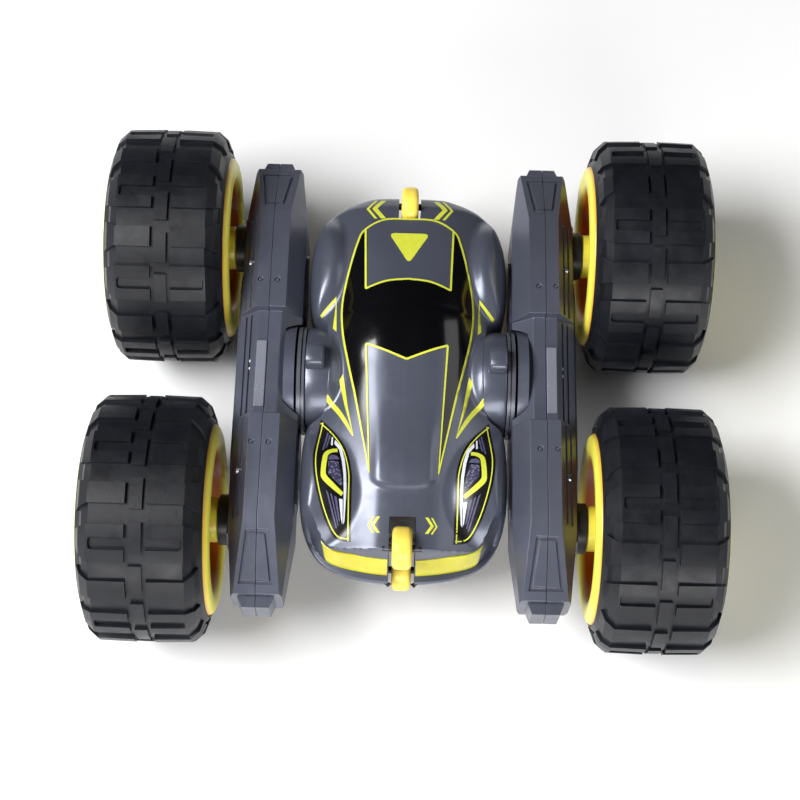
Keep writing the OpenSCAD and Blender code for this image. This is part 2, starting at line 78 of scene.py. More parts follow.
def spline(points, per_span=8):
    """A smooth open curve through points, as a list of points."""
    p = np.array(points, float)
    last = len(p) - 1
    out = []
    for i in range(last):
        a, b, c, d = (p[min(max(j, 0), last)] for j in (i - 1, i, i + 1, i + 2))
        for s in range(per_span):
            t = s / per_span
            out.append(0.5 * (2 * b + (c - a) * t + (2 * a - 5 * b + 4 * c - d) * t ** 2
                              + (3 * b - a - 3 * c + d) * t ** 3))
    out.append(p[-1])
    return [tuple(q) for q in out]


def table(points):
    """A function that follows points smoothly, for values that only rise in their first number."""
    curve = np.array(spline(points, 12))
    return lambda x: np.interp(x, curve[:, 0], curve[:, 1])


def spread(n, low, high, ends=0.5):
    """n + 1 values from low to high, closer together towards both ends."""
    t = np.linspace(-1, 1, n + 1)
    t = (1 - ends) * t + ends * np.sin(t * math.pi / 2)
    return (low + high) / 2 + t * (high - low) / 2


def rounded(points, radius, steps=5):
    """A closed outline with its corners rounded, to one radius or to one for each corner."""
    out = []
    n = len(points)
    radii = radius if isinstance(radius, list) else [radius] * n
    for i in range(n):
        if not radii[i]:
            out.append(tuple(points[i]))
            continue
        p = np.array(points[i], float)
        a = np.array(points[i - 1], float) - p
        b = np.array(points[(i + 1) % n], float) - p
        la, lb = np.linalg.norm(a), np.linalg.norm(b)
        reach = min(radii[i], la * 0.45, lb * 0.45)
        start, end = p + a / la * reach, p + b / lb * reach
        for s in range(steps + 1):
            t = s / steps
            out.append(tuple((1 - t) ** 2 * start + 2 * t * (1 - t) * p + t ** 2 * end))
    return out


# ---------------------------------------------------------------- meshes

def to_object(name, mesh_or_bm, material, body, stands_for=(), sharp=35.0):
    """Turns a bmesh in millimetres into a piece that rides on a body."""
    mesh = bpy.data.meshes.new(name)
    bmesh.ops.recalc_face_normals(mesh_or_bm, faces=mesh_or_bm.faces)
    mesh_or_bm.to_mesh(mesh)
    mesh_or_bm.free()
    mesh.transform(Matrix.Translation((0, 0, AXLE * MM)) @ Matrix.Scale(MM, 4))
    mesh.shade_smooth()
    mesh.set_sharp_from_angle(angle=math.radians(sharp))
    piece = bpy.data.objects.new(name, mesh)
    bpy.context.scene.collection.objects.link(piece)
    mesh.materials.append(material)
    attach(piece, body)
    if stands_for:
        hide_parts(*stands_for)
    return piece


def bevel(piece, width, segments=2, angle=40.0):
    """Rounds the sharp edges of a piece by a width in millimetres."""
    m = piece.modifiers.new("rounded_edges", "BEVEL")
    m.width = width * MM
    m.segments = segments
    m.limit_method = "ANGLE"
    m.angle_limit = math.radians(angle)
    m.harden_normals = True
    m.use_clamp_overlap = True
    return piece


def grid(bm, rows, closed_rows=False, closed_columns=False):
    """Quads between rows of points; returns the rows of vertices."""
    made = [[bm.verts.new(p) for p in row] for row in rows]
    n, m = len(made), len(made[0])
    for i in range(n if closed_rows else n - 1):
        for j in range(m if closed_columns else m - 1):
            quad = (made[i][j], made[(i + 1) % n][j], made[(i + 1) % n][(j + 1) % m],
                    made[i][(j + 1) % m])
            bm.faces.new(quad)
    return made


def fan(bm, loop):
    """Closes a loop of vertices with one face."""
    return bm.faces.new(loop)


def turned(bm, profile, steps):
    """Revolves a closed outline of (radius, x) points about the X axis."""
    rings = []
    for i in range(steps):
        a = 2 * math.pi * i / steps
        rings.append([(x, r * math.cos(a), r * math.sin(a)) for r, x in profile])
    return grid(bm, rings, closed_rows=True, closed_columns=True)


def place(bm, x, y, z=0.0, side=1):
    """Moves what was drawn about the origin to its place, mirrored for the left side."""
    for v in bm.verts:
        v.co = Vector((side * (v.co.x + x), v.co.y + y, v.co.z + z))


def cut(bm, point, normal, faces=None):
    """Splits faces along a plane."""
    chosen = list(bm.faces) if faces is None else list(faces)
    edges = {e for f in chosen for e in f.edges}
    verts = {v for f in chosen for v in f.verts}
    bmesh.ops.bisect_plane(bm, geom=[*verts, *edges, *chosen], plane_co=point, plane_no=normal,
                           dist=1e-5)


def prism(outline, low, high, axis="x"):
    """A straight block with a flat outline; along x the outline is (y, z), along z it is (x, y)."""
    bm = bmesh.new()
    ends = []
    for level in (low, high):
        if axis == "x":
            ends.append([bm.verts.new((level, a, b)) for a, b in outline])
        else:
            ends.append([bm.verts.new((a, b, level)) for a, b in outline])
    for loop in ends:
        fan(bm, loop)
    for i in range(len(outline)):
        j = (i + 1) % len(outline)
        bm.faces.new((ends[0][i], ends[0][j], ends[1][j], ends[1][i]))
    return bm


def joined(parts):
    """One bmesh from several."""
    whole = bmesh.new()
    for part in parts:
        mesh = bpy.data.meshes.new("part")
        part.to_mesh(mesh)
        part.free()
        whole.from_mesh(mesh)
        bpy.data.meshes.remove(mesh)
    return whole


def carve(bm, cutters):
    """A bmesh with the volumes of other closed bmeshes taken out of it."""
    things = []
    for part in (bm, *cutters):
        mesh = bpy.data.meshes.new("carving")
        bmesh.ops.recalc_face_normals(part, faces=part.faces)
        part.to_mesh(mesh)
        part.free()
        thing = bpy.data.objects.new("carving", mesh)
        bpy.context.scene.collection.objects.link(thing)
        things.append(thing)
    for tool in things[1:]:
        m = things[0].modifiers.new("cut", "BOOLEAN")
        m.object = tool
        m.operation = "DIFFERENCE"
        m.solver = "EXACT"
    result = things[0].evaluated_get(bpy.context.evaluated_depsgraph_get())
    mesh = bpy.data.meshes.new_from_object(result)
    carved = bmesh.new()
    carved.from_mesh(mesh)
    for thing in things:
        bpy.data.meshes.remove(thing.data)
    bpy.data.meshes.remove(mesh)
    return carved


def sheet_from(outlines, step):
    """A flat bmesh of one or more outlines, cut into cells no larger than a step."""
    bm = bmesh.new()
    for outline in outlines:
        bm.faces.new([bm.verts.new((x, y, 0)) for x, y in outline])
    xs = [v.co.x for v in bm.verts]
    ys = [v.co.y for v in bm.verts]
    for lo, hi, axis in ((min(xs), max(xs), 0), (min(ys), max(ys), 1)):
        count = int((hi - lo) / step)
        for i in range(1, count + 1):
            at = lo + (hi - lo) * i / (count + 1)
            normal = (1, 0, 0) if axis == 0 else (0, 1, 0)
            cut(bm, (at, at, 0), normal)
    return bm


def thicken(bm, height, lift, depth):
    """Lifts a flat bmesh onto a height function and gives it sides that go down by a depth."""
    bmesh.ops.remove_doubles(bm, verts=bm.verts, dist=1e-4)
    co = np.array([v.co for v in bm.verts]).reshape(-1, 3)
    z = height(co[:, 0], co[:, 1])
    for v, value in zip(bm.verts, z):
        v.co.z = value + lift
    rim = [e for e in bm.edges if len(e.link_faces) == 1]
    made = bmesh.ops.extrude_edge_only(bm, edges=rim)["geom"]
    for v in (g for g in made if isinstance(g, bmesh.types.BMVert)):
        v.co.z -= depth


def stroke(points, width, taper=None):
    """The outline of a line drawn with a width; taper gives the share of it at each point."""
    p = np.array(points, float)
    d = np.gradient(p, axis=0)
    d /= np.linalg.norm(d, axis=1)[:, None]
    normal = np.column_stack([-d[:, 1], d[:, 0]])
    share = np.ones(len(p)) if taper is None else np.interp(
        np.linspace(0, 1, len(p)), np.linspace(0, 1, len(taper)), taper)
    half = (share * width / 2)[:, None]
    left, right = p + normal * half, p - normal * half
    return [[tuple(left[i]), tuple(left[i + 1]), tuple(right[i + 1]), tuple(right[i])]
            for i in range(len(p) - 1)]


# ---------------------------------------------------------------- materials

class Nodes:
    """A short way to write a node material."""

    def __init__(self, name):
        self.material = bpy.data.materials.new(name)
        self.material.use_nodes = True
        self.tree = self.material.node_tree
        self.shader = self.tree.nodes["Principled BSDF"]
        self.where = self.add("ShaderNodeTexCoord").outputs["Object"]

    def add(self, kind, **settings):
        node = self.tree.nodes.new(kind)
        for key, value in settings.items():
            setattr(node, key, value)
        return node

    def link(self, a, b):
        self.tree.links.new(a, b)

    def set(self, **values):
        for key, value in values.items():
            self.shader.inputs[key.replace("_", " ")].default_value = value

    def noise(self, scale, detail=4.0, roughness=0.55):
        n = self.add("ShaderNodeTexNoise")
        self.link(self.where, n.inputs["Vector"])
        n.inputs["Scale"].default_value = scale
        n.inputs["Detail"].default_value = detail
        n.inputs["Roughness"].default_value = roughness
        return n.outputs["Fac"]

    def cells(self, scale, feature="F1"):
        n = self.add("ShaderNodeTexVoronoi", feature=feature)
        self.link(self.where, n.inputs["Vector"])
        n.inputs["Scale"].default_value = scale
        return n

    def remap(self, value, lo, hi, to_lo, to_hi):
        n = self.add("ShaderNodeMapRange")
        self.link(value, n.inputs["Value"])
        for key, v in (("From Min", lo), ("From Max", hi), ("To Min", to_lo), ("To Max", to_hi)):
            n.inputs[key].default_value = v
        return n.outputs["Result"]

    def mix(self, factor, a, b):
        n = self.add("ShaderNodeMix", data_type="RGBA")
        for socket, value in ((n.inputs["Factor"], factor), (n.inputs[6], a), (n.inputs[7], b)):
            if isinstance(value, bpy.types.NodeSocket):
                self.link(value, socket)
            else:
                socket.default_value = value
        return n.outputs[2]

    def bumps(self, *layers):
        """Each layer is (height socket, strength, distance in metres)."""
        normal = None
        for height, strength, distance in layers:
            n = self.add("ShaderNodeBump")
            n.inputs["Strength"].default_value = strength
            n.inputs["Distance"].default_value = distance
            self.link(height, n.inputs["Height"])
            if normal is not None:
                self.link(normal, n.inputs["Normal"])
            normal = n.outputs["Normal"]
        self.link(normal, self.shader.inputs["Normal"])


def rgb(r, g, b):
    """A linear colour from the usual 0 to 255 screen values."""
    def one(c):
        c /= 255
        return c / 12.92 if c <= 0.04045 else ((c + 0.055) / 1.055) ** 2.4
    return (one(r), one(g), one(b), 1.0)


def moulded(name, dark, light, roughness, metallic=0.0, coat=0.0, grain=0.1, flake=0.0,
            orange_peel=0.05, subsurface=0.0):
    """Moulded plastic: slow tone changes, fine grain, faint flow marks and scuffs."""
    n = Nodes(name)
    tone = n.remap(n.noise(38, 5), 0.3, 0.7, 0, 1)
    colour = n.mix(tone, dark, light)
    if flake:
        sparkle = n.remap(n.cells(5200).outputs["Distance"], 0.0, 0.35, 1, 0)
        bright = tuple(min(1.0, c * (1 + 2.2 * flake) + 0.02 * flake) for c in light[:3]) + (1.0,)
        colour = n.mix(n.remap(sparkle, 0.55, 1.0, 0, flake), colour, bright)
    n.link(colour, n.shader.inputs["Base Color"])
    scuff = n.remap(n.noise(210, 8, 0.7), 0.45, 0.75, roughness * 0.86, roughness * 1.2)
    n.link(scuff, n.shader.inputs["Roughness"])
    n.set(Metallic=metallic, Coat_Weight=coat, Coat_Roughness=0.08, IOR=1.49)
    if subsurface:
        n.set(Subsurface_Weight=subsurface, Subsurface_Scale=0.002)
    n.bumps((n.noise(90, 3), orange_peel, 0.0003), (n.noise(3200, 2), grain, 0.00004))
    return n.material


def painted_shade_dish(name, lip, painted_shade_colour):
    """Yellow moulding with painted shade in its dish: the inside is coloured orange to stand for its
    shadow and the yellow light bounced around in it.
    """
    n = Nodes(name)
    split = n.add("ShaderNodeSeparateXYZ")
    n.link(n.where, split.inputs["Vector"])
    across = n.add("ShaderNodeMath", operation="ABSOLUTE")
    n.link(split.outputs["X"], across.inputs[0])
    # painted shade: orange mixed in from just past the inner face to near the outer lip, over the
    # inside of the dish
    inner = (WHEEL_X - 17.6) * MM
    depth = n.remap(across.outputs[0], inner, inner + 1.6 * MM, 0, 1)
    outer = n.remap(across.outputs[0], inner + 24.5 * MM, inner + 27 * MM, 1, 0)
    both = n.add("ShaderNodeMath", operation="MULTIPLY")
    n.link(depth, both.inputs[0])
    n.link(outer, both.inputs[1])
    uneven = n.remap(n.noise(60, 4), 0.3, 0.7, 0.86, 1.0)
    share = n.add("ShaderNodeMath", operation="MULTIPLY")
    n.link(both.outputs[0], share.inputs[0])
    n.link(uneven, share.inputs[1])
    n.link(n.mix(share.outputs[0], lip, painted_shade_colour), n.shader.inputs["Base Color"])
    n.link(n.remap(n.noise(210, 8, 0.7), 0.45, 0.75, 0.28, 0.42), n.shader.inputs["Roughness"])
    n.set(IOR=1.49, Subsurface_Weight=0.2, Subsurface_Scale=0.002)
    n.bumps((n.noise(90, 3), 0.05, 0.0003), (n.noise(3200, 2), 0.1, 0.00004))
    return n.material


def rubber(name):
    """Soft tyre vinyl: near black, faint bluish sheen, pores and dusty patches."""
    n = Nodes(name)
    dust = n.remap(n.noise(55, 7, 0.65), 0.42, 0.78, 0, 0.5)
    colour = n.mix(dust, rgb(17, 18, 23), rgb(30, 32, 41))
    n.link(colour, n.shader.inputs["Base Color"])
    n.link(n.remap(n.noise(140, 6, 0.6), 0.35, 0.7, 0.36, 0.54), n.shader.inputs["Roughness"])
    n.set(IOR=1.42, Sheen_Weight=0.05, Sheen_Roughness=0.4, Sheen_Tint=rgb(150, 165, 200))
    n.bumps((n.noise(420, 6), 0.22, 0.0002), (n.noise(2600, 3), 0.3, 0.00005))
    return n.material


def gloss_black(name):
    """Glossy black glass print with an almost flat surface."""
    n = Nodes(name)
    n.link(n.mix(n.remap(n.noise(30, 3), 0.3, 0.7, 0, 1), rgb(7, 7, 9), rgb(13, 13, 16)),
           n.shader.inputs["Base Color"])
    n.link(n.remap(n.noise(260, 6, 0.7), 0.4, 0.8, 0.12, 0.2), n.shader.inputs["Roughness"])
    n.set(IOR=1.46, Coat_Weight=0.15, Coat_Roughness=0.06)
    n.bumps((n.noise(70, 2), 0.04, 0.0003))
    return n.material


def print_ink(name, dark, light, roughness=0.38):
    """Pad-printed ink with slightly uneven cover."""
    n = Nodes(name)
    n.link(n.mix(n.remap(n.noise(900, 4), 0.3, 0.7, 0, 1), dark, light),
           n.shader.inputs["Base Color"])
    n.link(n.remap(n.noise(300, 4), 0.3, 0.7, roughness * 0.85, roughness * 1.2),
           n.shader.inputs["Roughness"])
    n.bumps((n.noise(1500, 3), 0.12, 0.00004))
    return n.material


def mesh_print(name):
    """Printed honeycomb mesh, pale dots on a dark violet-grey ground."""
    n = Nodes(name)
    spots = n.remap(n.cells(1500).outputs["Distance"], 0.25, 0.5, 1, 0)
    n.link(n.mix(spots, rgb(52, 50, 78), rgb(120, 118, 142)), n.shader.inputs["Base Color"])
    n.link(n.remap(n.noise(300, 3), 0.3, 0.7, 0.3, 0.45), n.shader.inputs["Roughness"])
    return n.material


def lens_plastic(name):
    """Clear yellow lens plastic, deeper in colour where it is thick."""
    n = Nodes(name)
    n.link(n.mix(n.remap(n.noise(120, 3), 0.35, 0.65, 0, 1), rgb(244, 222, 20), rgb(250, 236, 60)),
           n.shader.inputs["Base Color"])
    n.link(n.remap(n.noise(500, 4), 0.3, 0.7, 0.1, 0.2), n.shader.inputs["Roughness"])
    n.set(IOR=1.49, Transmission_Weight=0.35, Subsurface_Weight=0.3, Subsurface_Scale=0.002,
          Coat_Weight=0.3)
    n.bumps((n.noise(200, 2), 0.05, 0.0003))
    return n.material


def metal(name, dark, light, roughness=0.3, brushed=900):
    """Plated or turned metal with fine marks."""
    n = Nodes(name)
    n.link(n.mix(n.remap(n.noise(160, 5), 0.3, 0.7, 0, 1), dark, light),
           n.shader.inputs["Base Color"])
    n.link(n.remap(n.noise(brushed, 5), 0.3, 0.7, roughness * 0.7, roughness * 1.4),
           n.shader.inputs["Roughness"])
    n.set(Metallic=1.0)
    n.bumps((n.noise(brushed * 2, 3), 0.1, 0.00005))
    return n.material


bpy.context.scene.view_settings.view_transform = "Standard"

BODY = moulded("gunmetal_plastic", rgb(83, 87, 101), rgb(89, 93, 107), 0.33, metallic=0.35,
               coat=0.15, flake=0.5, grain=0.05, orange_peel=0.02)
ARM = moulded("arm_gunmetal_plastic", rgb(84, 87, 101), rgb(91, 94, 109), 0.38, metallic=0.35,
              coat=0.1, flake=0.5, grain=0.08, orange_peel=0.02)
STRIP = moulded("pale_strip_plastic", rgb(138, 141, 154), rgb(150, 153, 166), 0.26,
                 metallic=0.35, orange_peel=0.02, grain=0.04)
RING = moulded("grey_ring_plastic", rgb(86, 88, 98), rgb(96, 98, 108), 0.34, metallic=0.3)
# black for the real black parts, and painted shade on the roller bay walls
BLACK_AND_PAINTED_SHADE = moulded("black_plastic", rgb(20, 20, 22), rgb(28, 28, 31), 0.42)
CANOPY = gloss_black("canopy_gloss")
INK = print_ink("yellow_green_ink", rgb(206, 211, 60), rgb(216, 221, 74))
INK_BLACK = print_ink("black_ink", rgb(13, 13, 15), rgb(19, 19, 21), 0.3)
INK_WHITE = print_ink("silver_ink", rgb(206, 212, 226), rgb(224, 228, 238))
INK_VIOLET = print_ink("violet_ink", rgb(78, 74, 108), rgb(98, 94, 126))
INK_MESH = mesh_print("mesh_ink")
LENS = lens_plastic("yellow_lens")
YELLOW = moulded("warm_yellow_plastic", rgb(250, 216, 84), rgb(253, 226, 98), 0.36, subsurface=0.25,
                 orange_peel=0.06)
RIM = moulded("rim_yellow_plastic", rgb(244, 230, 60), rgb(250, 238, 84), 0.34, subsurface=0.2)
# rim barrels: yellow at the lip, painted shade in orange inside the dish
RIM_PAINTED_SHADE = painted_shade_dish("rim_dish_painted_shade", rgb(248, 238, 92), rgb(206, 84, 0))
TYRE = rubber("tyre_rubber")
NYLON = moulded("white_nylon", rgb(222, 220, 208), rgb(234, 232, 222), 0.45, subsurface=0.3)
STEEL = metal("bright_steel", rgb(150, 152, 156), rgb(186, 188, 192))
BRASS = metal("brass", rgb(190, 150, 70), rgb(214, 176, 92))
BOARD = moulded("green_board", rgb(18, 74, 44), rgb(26, 92, 54), 0.4)
WRAP = moulded("blue_battery_wrap", rgb(26, 70, 150), rgb(34, 84, 170), 0.3)


# ---------------------------------------------------------------- body surface

PLAN = [(0, 57), (7, 56.9), (12, 56.2), (20, 52.5), (25.4, 45.5), (28, 36), (28.2, 24),
        (26.8, 16.5), (22.9, 12), (22.4, 0), (22.9, -12), (27, -16.5), (28.4, -25), (28.4, -38),
        (26.8, -46), (22.4, -53), (15, -56.6), (7, -58), (0, -58.3)]
PLAN_CURVE = np.array(spline(PLAN, 10))
HALF_WIDTH = (PLAN_CURVE[::-1, 1], PLAN_CURVE[::-1, 0])

SPINE = table([(-58.4, 9.6), (-54, 11.4), (-49, 12.0), (-42, 12.9), (-30, 14.8), (-14, 16.8),
               (-2, 18.6), (6, 20.0), (14, 20.3), (22, 19.2), (33, 17), (45, 13.9), (52.4, 11.4),
               (57, 8.6)])
CABIN_DROP = table([(0, 0), (6, 0.2), (11, 1.4), (15, 3.5), (18.2, 6.2), (20.5, 8.0), (26, 12.0),
                    (30, 15.0)])
BONNET_DROP = table([(0, 0), (5, 0.15), (8, 0.6), (12, 2.0), (18, 4.6), (24, 7.6), (30, 11)])
TAIL_DROP = table([(0, 0), (6, 0.1), (11, 0.5), (15, 1.7), (20, 4.2), (26, 8.0), (30, 11)])

# How the skin falls away within a distance of the outline: beside, in front and behind.
SIDE_EDGE = table([(0, 4.4), (0.12, 6.2), (0.5, 8.4), (1.4, 10.9), (2.6, 12.9), (4.2, 14.6),
                   (7, 16.4), (12, 18.6), (30, 24)])
TAIL_EDGE = table([(0, 2.0), (0.3, 4.6), (1.1, 6.9), (2.4, 9.0), (4.6, 11.0), (8, 13.2), (14, 15.6),
                   (30, 24)])
LIP_EDGE = table([(0, -2.9), (0.16, -2.45), (0.5, -2.2), (1.9, -2.0), (2.3, -1.6), (4.3, 4.9),
                  (4.55, 5.9), (4.85, 8.6), (5.3, 10.9), (6.4, 12.6), (9, 13.8), (20, 17), (30, 24)])
SEAM = -1.0


def lip_scale(x):
    """How much narrower the lip and the light's recess are towards the corners of the nose."""
    return 1 + 0.5 * ramp(np.abs(x), 12, 23)


def half_width(y):
    return np.interp(y, *HALF_WIDTH)


def edge_distance(x, y):
    """Distance from a point to the outline of the body."""
    x, y = np.abs(np.atleast_1d(x)).astype(float), np.atleast_1d(y).astype(float)
    a, b = PLAN_CURVE[:-1], PLAN_CURVE[1:]
    best = np.full(x.shape, 1e9)
    for (ax, ay), (bx, by) in zip(a, b):
        dx, dy = bx - ax, by - ay
        t = np.clip(((x - ax) * dx + (y - ay) * dy) / (dx * dx + dy * dy), 0, 1)
        best = np.minimum(best, np.hypot(x - ax - t * dx, y - ay - t * dy))
    return best


def arch(y, middle, r, lift):
    """Height of a round hump along the car."""
    return lift + np.sqrt(np.maximum(r ** 2 - (y - middle) ** 2, 1))


def roof(x, y):
    """Height of the body's skin over a point, measured from the axle line."""
    x, y = np.abs(np.atleast_1d(x)).astype(float), np.atleast_1d(y).astype(float)
    bonnet = ramp(-y, 2, 22)
    tail = ramp(y, 16, 38)
    drop = CABIN_DROP(x) * (1 - bonnet) * (1 - tail) + BONNET_DROP(x) * bonnet + TAIL_DROP(x) * tail
    z = SPINE(y) - drop
    # raised middle of the bonnet, which ends in a rounded step
    nose = 37.2 - 1.5 * (x / 8) ** 3
    z = z + 0.75 * ramp(nose + y, 0, 2.2) * ramp(-y, 14, 33) * (1 - ramp(x, 6.6, 9.8)) - \
        0.4 * ramp(-y, 30, 38)
    # wheel-arch humps
    rear = arch(y, 31, 22.2, -6.6) - 0.085 * np.maximum(22.5 - x, 0) ** 2
    front = arch(y, -33, 21.6, -7.8) - 0.035 * np.maximum(21 - x, 0) ** 2
    z = soft_max(z, rear, 1.6)
    z = soft_max(z, front, 2.4)
    # saddle over the pivot housings
    drum = arch(y, 0, 15.0, 0) - 0.3 * np.maximum(21.4 - x, 0) ** 1.5
    z = soft_max(z, drum, 1.6)
    d = edge_distance(x, y)
    front_share = ramp(-y, 41, 47.5)
    tail_share = ramp(y, 44, 53)
    waist = 1 - ramp(np.abs(y), 9, 15)
    side = SIDE_EDGE(d * (1 + 5 * waist))
    edge = side * (1 - front_share) * (1 - tail_share) + LIP_EDGE(d * lip_scale(x)) * front_share \
        + TAIL_EDGE(d) * tail_share
    k = 1.6 * (1 - front_share) + 0.5 * front_share
    return soft_min(z, edge, k)


BELLY_EDGE = table([(0, 3.4), (0.3, 5.0), (1.2, 8.0), (3.2, 12.4), (5.6, 15.4), (8.5, 17.0),
                    (30, 17.2)])


def belly(x, y):
    """Height of the underside over a point, measured from the axle line."""
    d = edge_distance(x, y)
    ends = ramp(np.abs(np.atleast_1d(y)), 36, 56)
    flat = 17.0 - 3.4 * ends
    return -soft_min(BELLY_EDGE(d), flat, 1.0)


# Roller bays: where each starts along the car and half its width.
BAYS = {-1: (43.9, 3.6), 1: (45.6, 3.2)}


def open_bays(bm):
    """Cuts the roller bays out of a skin and gives them walls down to the seam, coloured black as
    painted shade in the deep slots.
    """
    for end, (start, half) in BAYS.items():
        def near(reach):
            return [f for f in bm.faces if abs(f.calc_center_median().x) < reach
                    and f.calc_center_median().y * end > start - 3]
        for x in (-half, half):
            cut(bm, (x, 0, 0), (1, 0, 0), near(half + 3))
        cut(bm, (0, end * start, 0), (0, 1, 0), near(half + 3))
        inside = [f for f in near(half) if f.calc_center_median().y * end > start]
        bmesh.ops.delete(bm, geom=inside, context="FACES")
        rim = [e for e in bm.edges if len(e.link_faces) == 1
               and all(abs(v.co.x) < half + 1e-3 and v.co.y * end > start - 1e-3 for v in e.verts)]
        # the walls made here take the shell's second finish, black, as painted shade
        made = bmesh.ops.extrude_edge_only(bm, edges=rim)["geom"]
        for part in made:
            if isinstance(part, bmesh.types.BMVert):
                part.co.z = float(seam_level(part.co.y)[0])
            elif isinstance(part, bmesh.types.BMFace):
                part.material_index = 1


def skin(height, rows, columns, gap=0.0):
    """A half shell: rows of points across the body, with a wall to the seam."""
    bm = bmesh.new()
    lines = []
    for y in spread(rows, -58.28, 56.98, 0.6):
        w = max(float(half_width(y)), 0.05)
        x = spread(columns, -w, w, 0.55)
        z = height(x, np.full(x.shape, y))
        line = [(float(a), float(y), float(b)) for a, b in zip(x, z)]
        seam = float(seam_level(y)[0]) - gap
        first, last = line[0], line[-1]
        wall = [0.75, 0.4, 0.0]
        lines.append([(first[0], y, seam + (first[2] - seam) * t) for t in reversed(wall)] + line
                     + [(last[0], y, seam + (last[2] - seam) * t) for t in wall])
    grid(bm, lines)
    return bm


def seam_level(y):
    """Height of the line where the two body shells meet; it dips under the front light."""
    return SEAM - 2.2 * ramp(-np.atleast_1d(y).astype(float), 36, 44)


def hole(bm, outline, wall_to):
    """Cuts a convex hole through a skin and gives it walls to a level."""
    middle = np.mean(outline, axis=0)
    reach = max(np.linalg.norm(np.array(p) - middle) for p in outline) + 2.5
    for (ax, ay), (bx, by) in zip(outline, outline[1:] + outline[:1]):
        near = [f for f in bm.faces if np.linalg.norm(
            np.array(f.calc_center_median()[:2]) - middle) < reach]
        cut(bm, (ax, ay, 0), (by - ay, ax - bx, 0), near)

    def inside(x, y, slack):
        return all((bx - ax) * (y - ay) - (by - ay) * (x - ax) > -slack
                   for (ax, ay), (bx, by) in zip(outline, outline[1:] + outline[:1]))
    gone = [f for f in bm.faces if inside(*f.calc_center_median()[:2], 0)]
    bmesh.ops.delete(bm, geom=gone, context="FACES")
    rim = [e for e in bm.edges if len(e.link_faces) == 1
           and all(inside(v.co.x, v.co.y, 0.02) for v in e.verts)]
    made = bmesh.ops.extrude_edge_only(bm, edges=rim)["geom"]
    for v in (g for g in made if isinstance(g, bmesh.types.BMVert)):
        v.co.z = wall_to


def rectangle(x, y, width, length):
    return [(x - width / 2, y - length / 2), (x + width / 2, y - length / 2),
            (x + width / 2, y + length / 2), (x - width / 2, y + length / 2)]


def circle(x, y, r, steps=20):
    return [(x + r * math.cos(2 * math.pi * i / steps), y + r * math.sin(2 * math.pi * i / steps))
            for i in range(steps)]


def make_upper_shell():
    bm = skin(roof, 330, 150)
    open_bays(bm)
    shell = to_object("body_upper_shell", bm, BODY, "car_body", ["upper_shell"], 50)
    return shell_wall(shell)


def shell_wall(shell):
    # second finish: black on the roller bay walls, as painted shade
    shell.data.materials.append(BLACK_AND_PAINTED_SHADE)
    m = shell.modifiers.new("wall", "SOLIDIFY")
    m.thickness = 1.1 * MM
    m.offset = -1
    return shell


def make_lower_shell():
    bm = skin(belly, 170, 84, 0.18)
    open_bays(bm)
    low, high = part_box("battery_door")
    door = rectangle(0, (low.y + high.y) / MM / 2 - 0.5, 34.4, 54.4)
    hole(bm, door, -15.2)
    hole(bm, rectangle(0, 37, 9.2, 3.6), -15.0)
    for x in (-17, 17):
        for y in (-36, 36):
            hole(bm, circle(x, y, 2.5), -14.0)
    for y in (-38.5, -41, -43.5):
        for x in (-8, 8):
            hole(bm, rounded(rectangle(x, y, 7, 1.1), 0.5, 3), -14.5)
    shell = to_object("body_lower_shell", bm, BODY, "car_body", ["lower_shell"], 50)
    return shell_wall(shell)


def make_housing(side):
    """Drum around the pivot, with the raised pad that covers the lead."""
    bm = bmesh.new()
    inner, outer, r, lip = 20.0, 28.2, 15.2, 7.1
    turned(bm, [(lip, inner), (r - 1.6, inner), (r - 0.5, 20.8), (r, 22.2), (r, outer - 0.9),
                (r - 0.25, outer - 0.3), (r - 0.9, outer), (lip, outer)], 128)
    place(bm, 0, 0, 0, side)
    drum = to_object(f"pivot_housing_{NAMES[side]}", bm, BODY, "car_body", (), 30)
    bm = bmesh.new()
    pad = rounded([(-3.5, 12.0), (3.5, 12.0), (3.5, 19.1), (-3.5, 19.1)], 2.6, 6)
    rings = [[(x, y * k, 12.0 + (z - 12.0) * k) for y, z in pad]
             for x, k in ((22.7, 0.86), (23.0, 0.96), (23.5, 1.0), (27.2, 1.0), (27.7, 0.97))]
    rows = grid(bm, rings, closed_columns=True)
    fan(bm, rows[0])
    fan(bm, rows[-1])
    place(bm, 0, 0.9, 0, side)
    to_object(f"housing_pad_{NAMES[side]}", bm, BODY, "car_body", (), 50)
    return drum


NAMES = {-1: "left", 1: "right"}


# ---------------------------------------------------------------- canopy and printed graphics

CANOPY_LINE = [(0, 45.5), (7.2, 45.2), (12.8, 41.6), (14.7, 37.3), (17.4, 25.4), (18.5, 17.0),
               (17.9, 8.2), (15.8, -2.0), (13.6, -11.5), (9.4, -32.0)]
CANOPY_FRONT = [(9.4, -32.0), (11.3, 4.0), (0, -0.6)]
DECK_FRONT = [(0, 23.9), (6, 23.2), (11.9, 21.1)]
DECK_CORNER = (12.6, 41.6)
LINE_WIDTH = 0.56


def printed(name, outlines, material, lift=0.05, step=0.9, stands_for=(),
            depth=0.12):
    """Flat artwork laid on the body's skin."""
    bm = sheet_from(outlines, step)
    thicken(bm, roof, lift, depth)
    return to_object(name, bm, material, "car_body", stands_for, 60)


def make_canopy():
    outer = spline(CANOPY_LINE, 8)
    start = min(range(len(outer)), key=lambda i: abs(outer[i][1] - 41.6))
    half = [(0, -0.6), (11.3, 4.0)] + outer[start:][::-1] + spline(DECK_FRONT, 6)[::-1]
    whole = [half, [(-x, y) for x, y in half][::-1]]
    printed("canopy_glass", whole, CANOPY, 0.16, 0.6, stands_for=["canopy_glass"], depth=0.4)


def mirrored(outlines):
    """The outlines and their mirror images on the left-hand side."""
    return outlines + [[(-x, y) for x, y in o][::-1] for o in outlines]


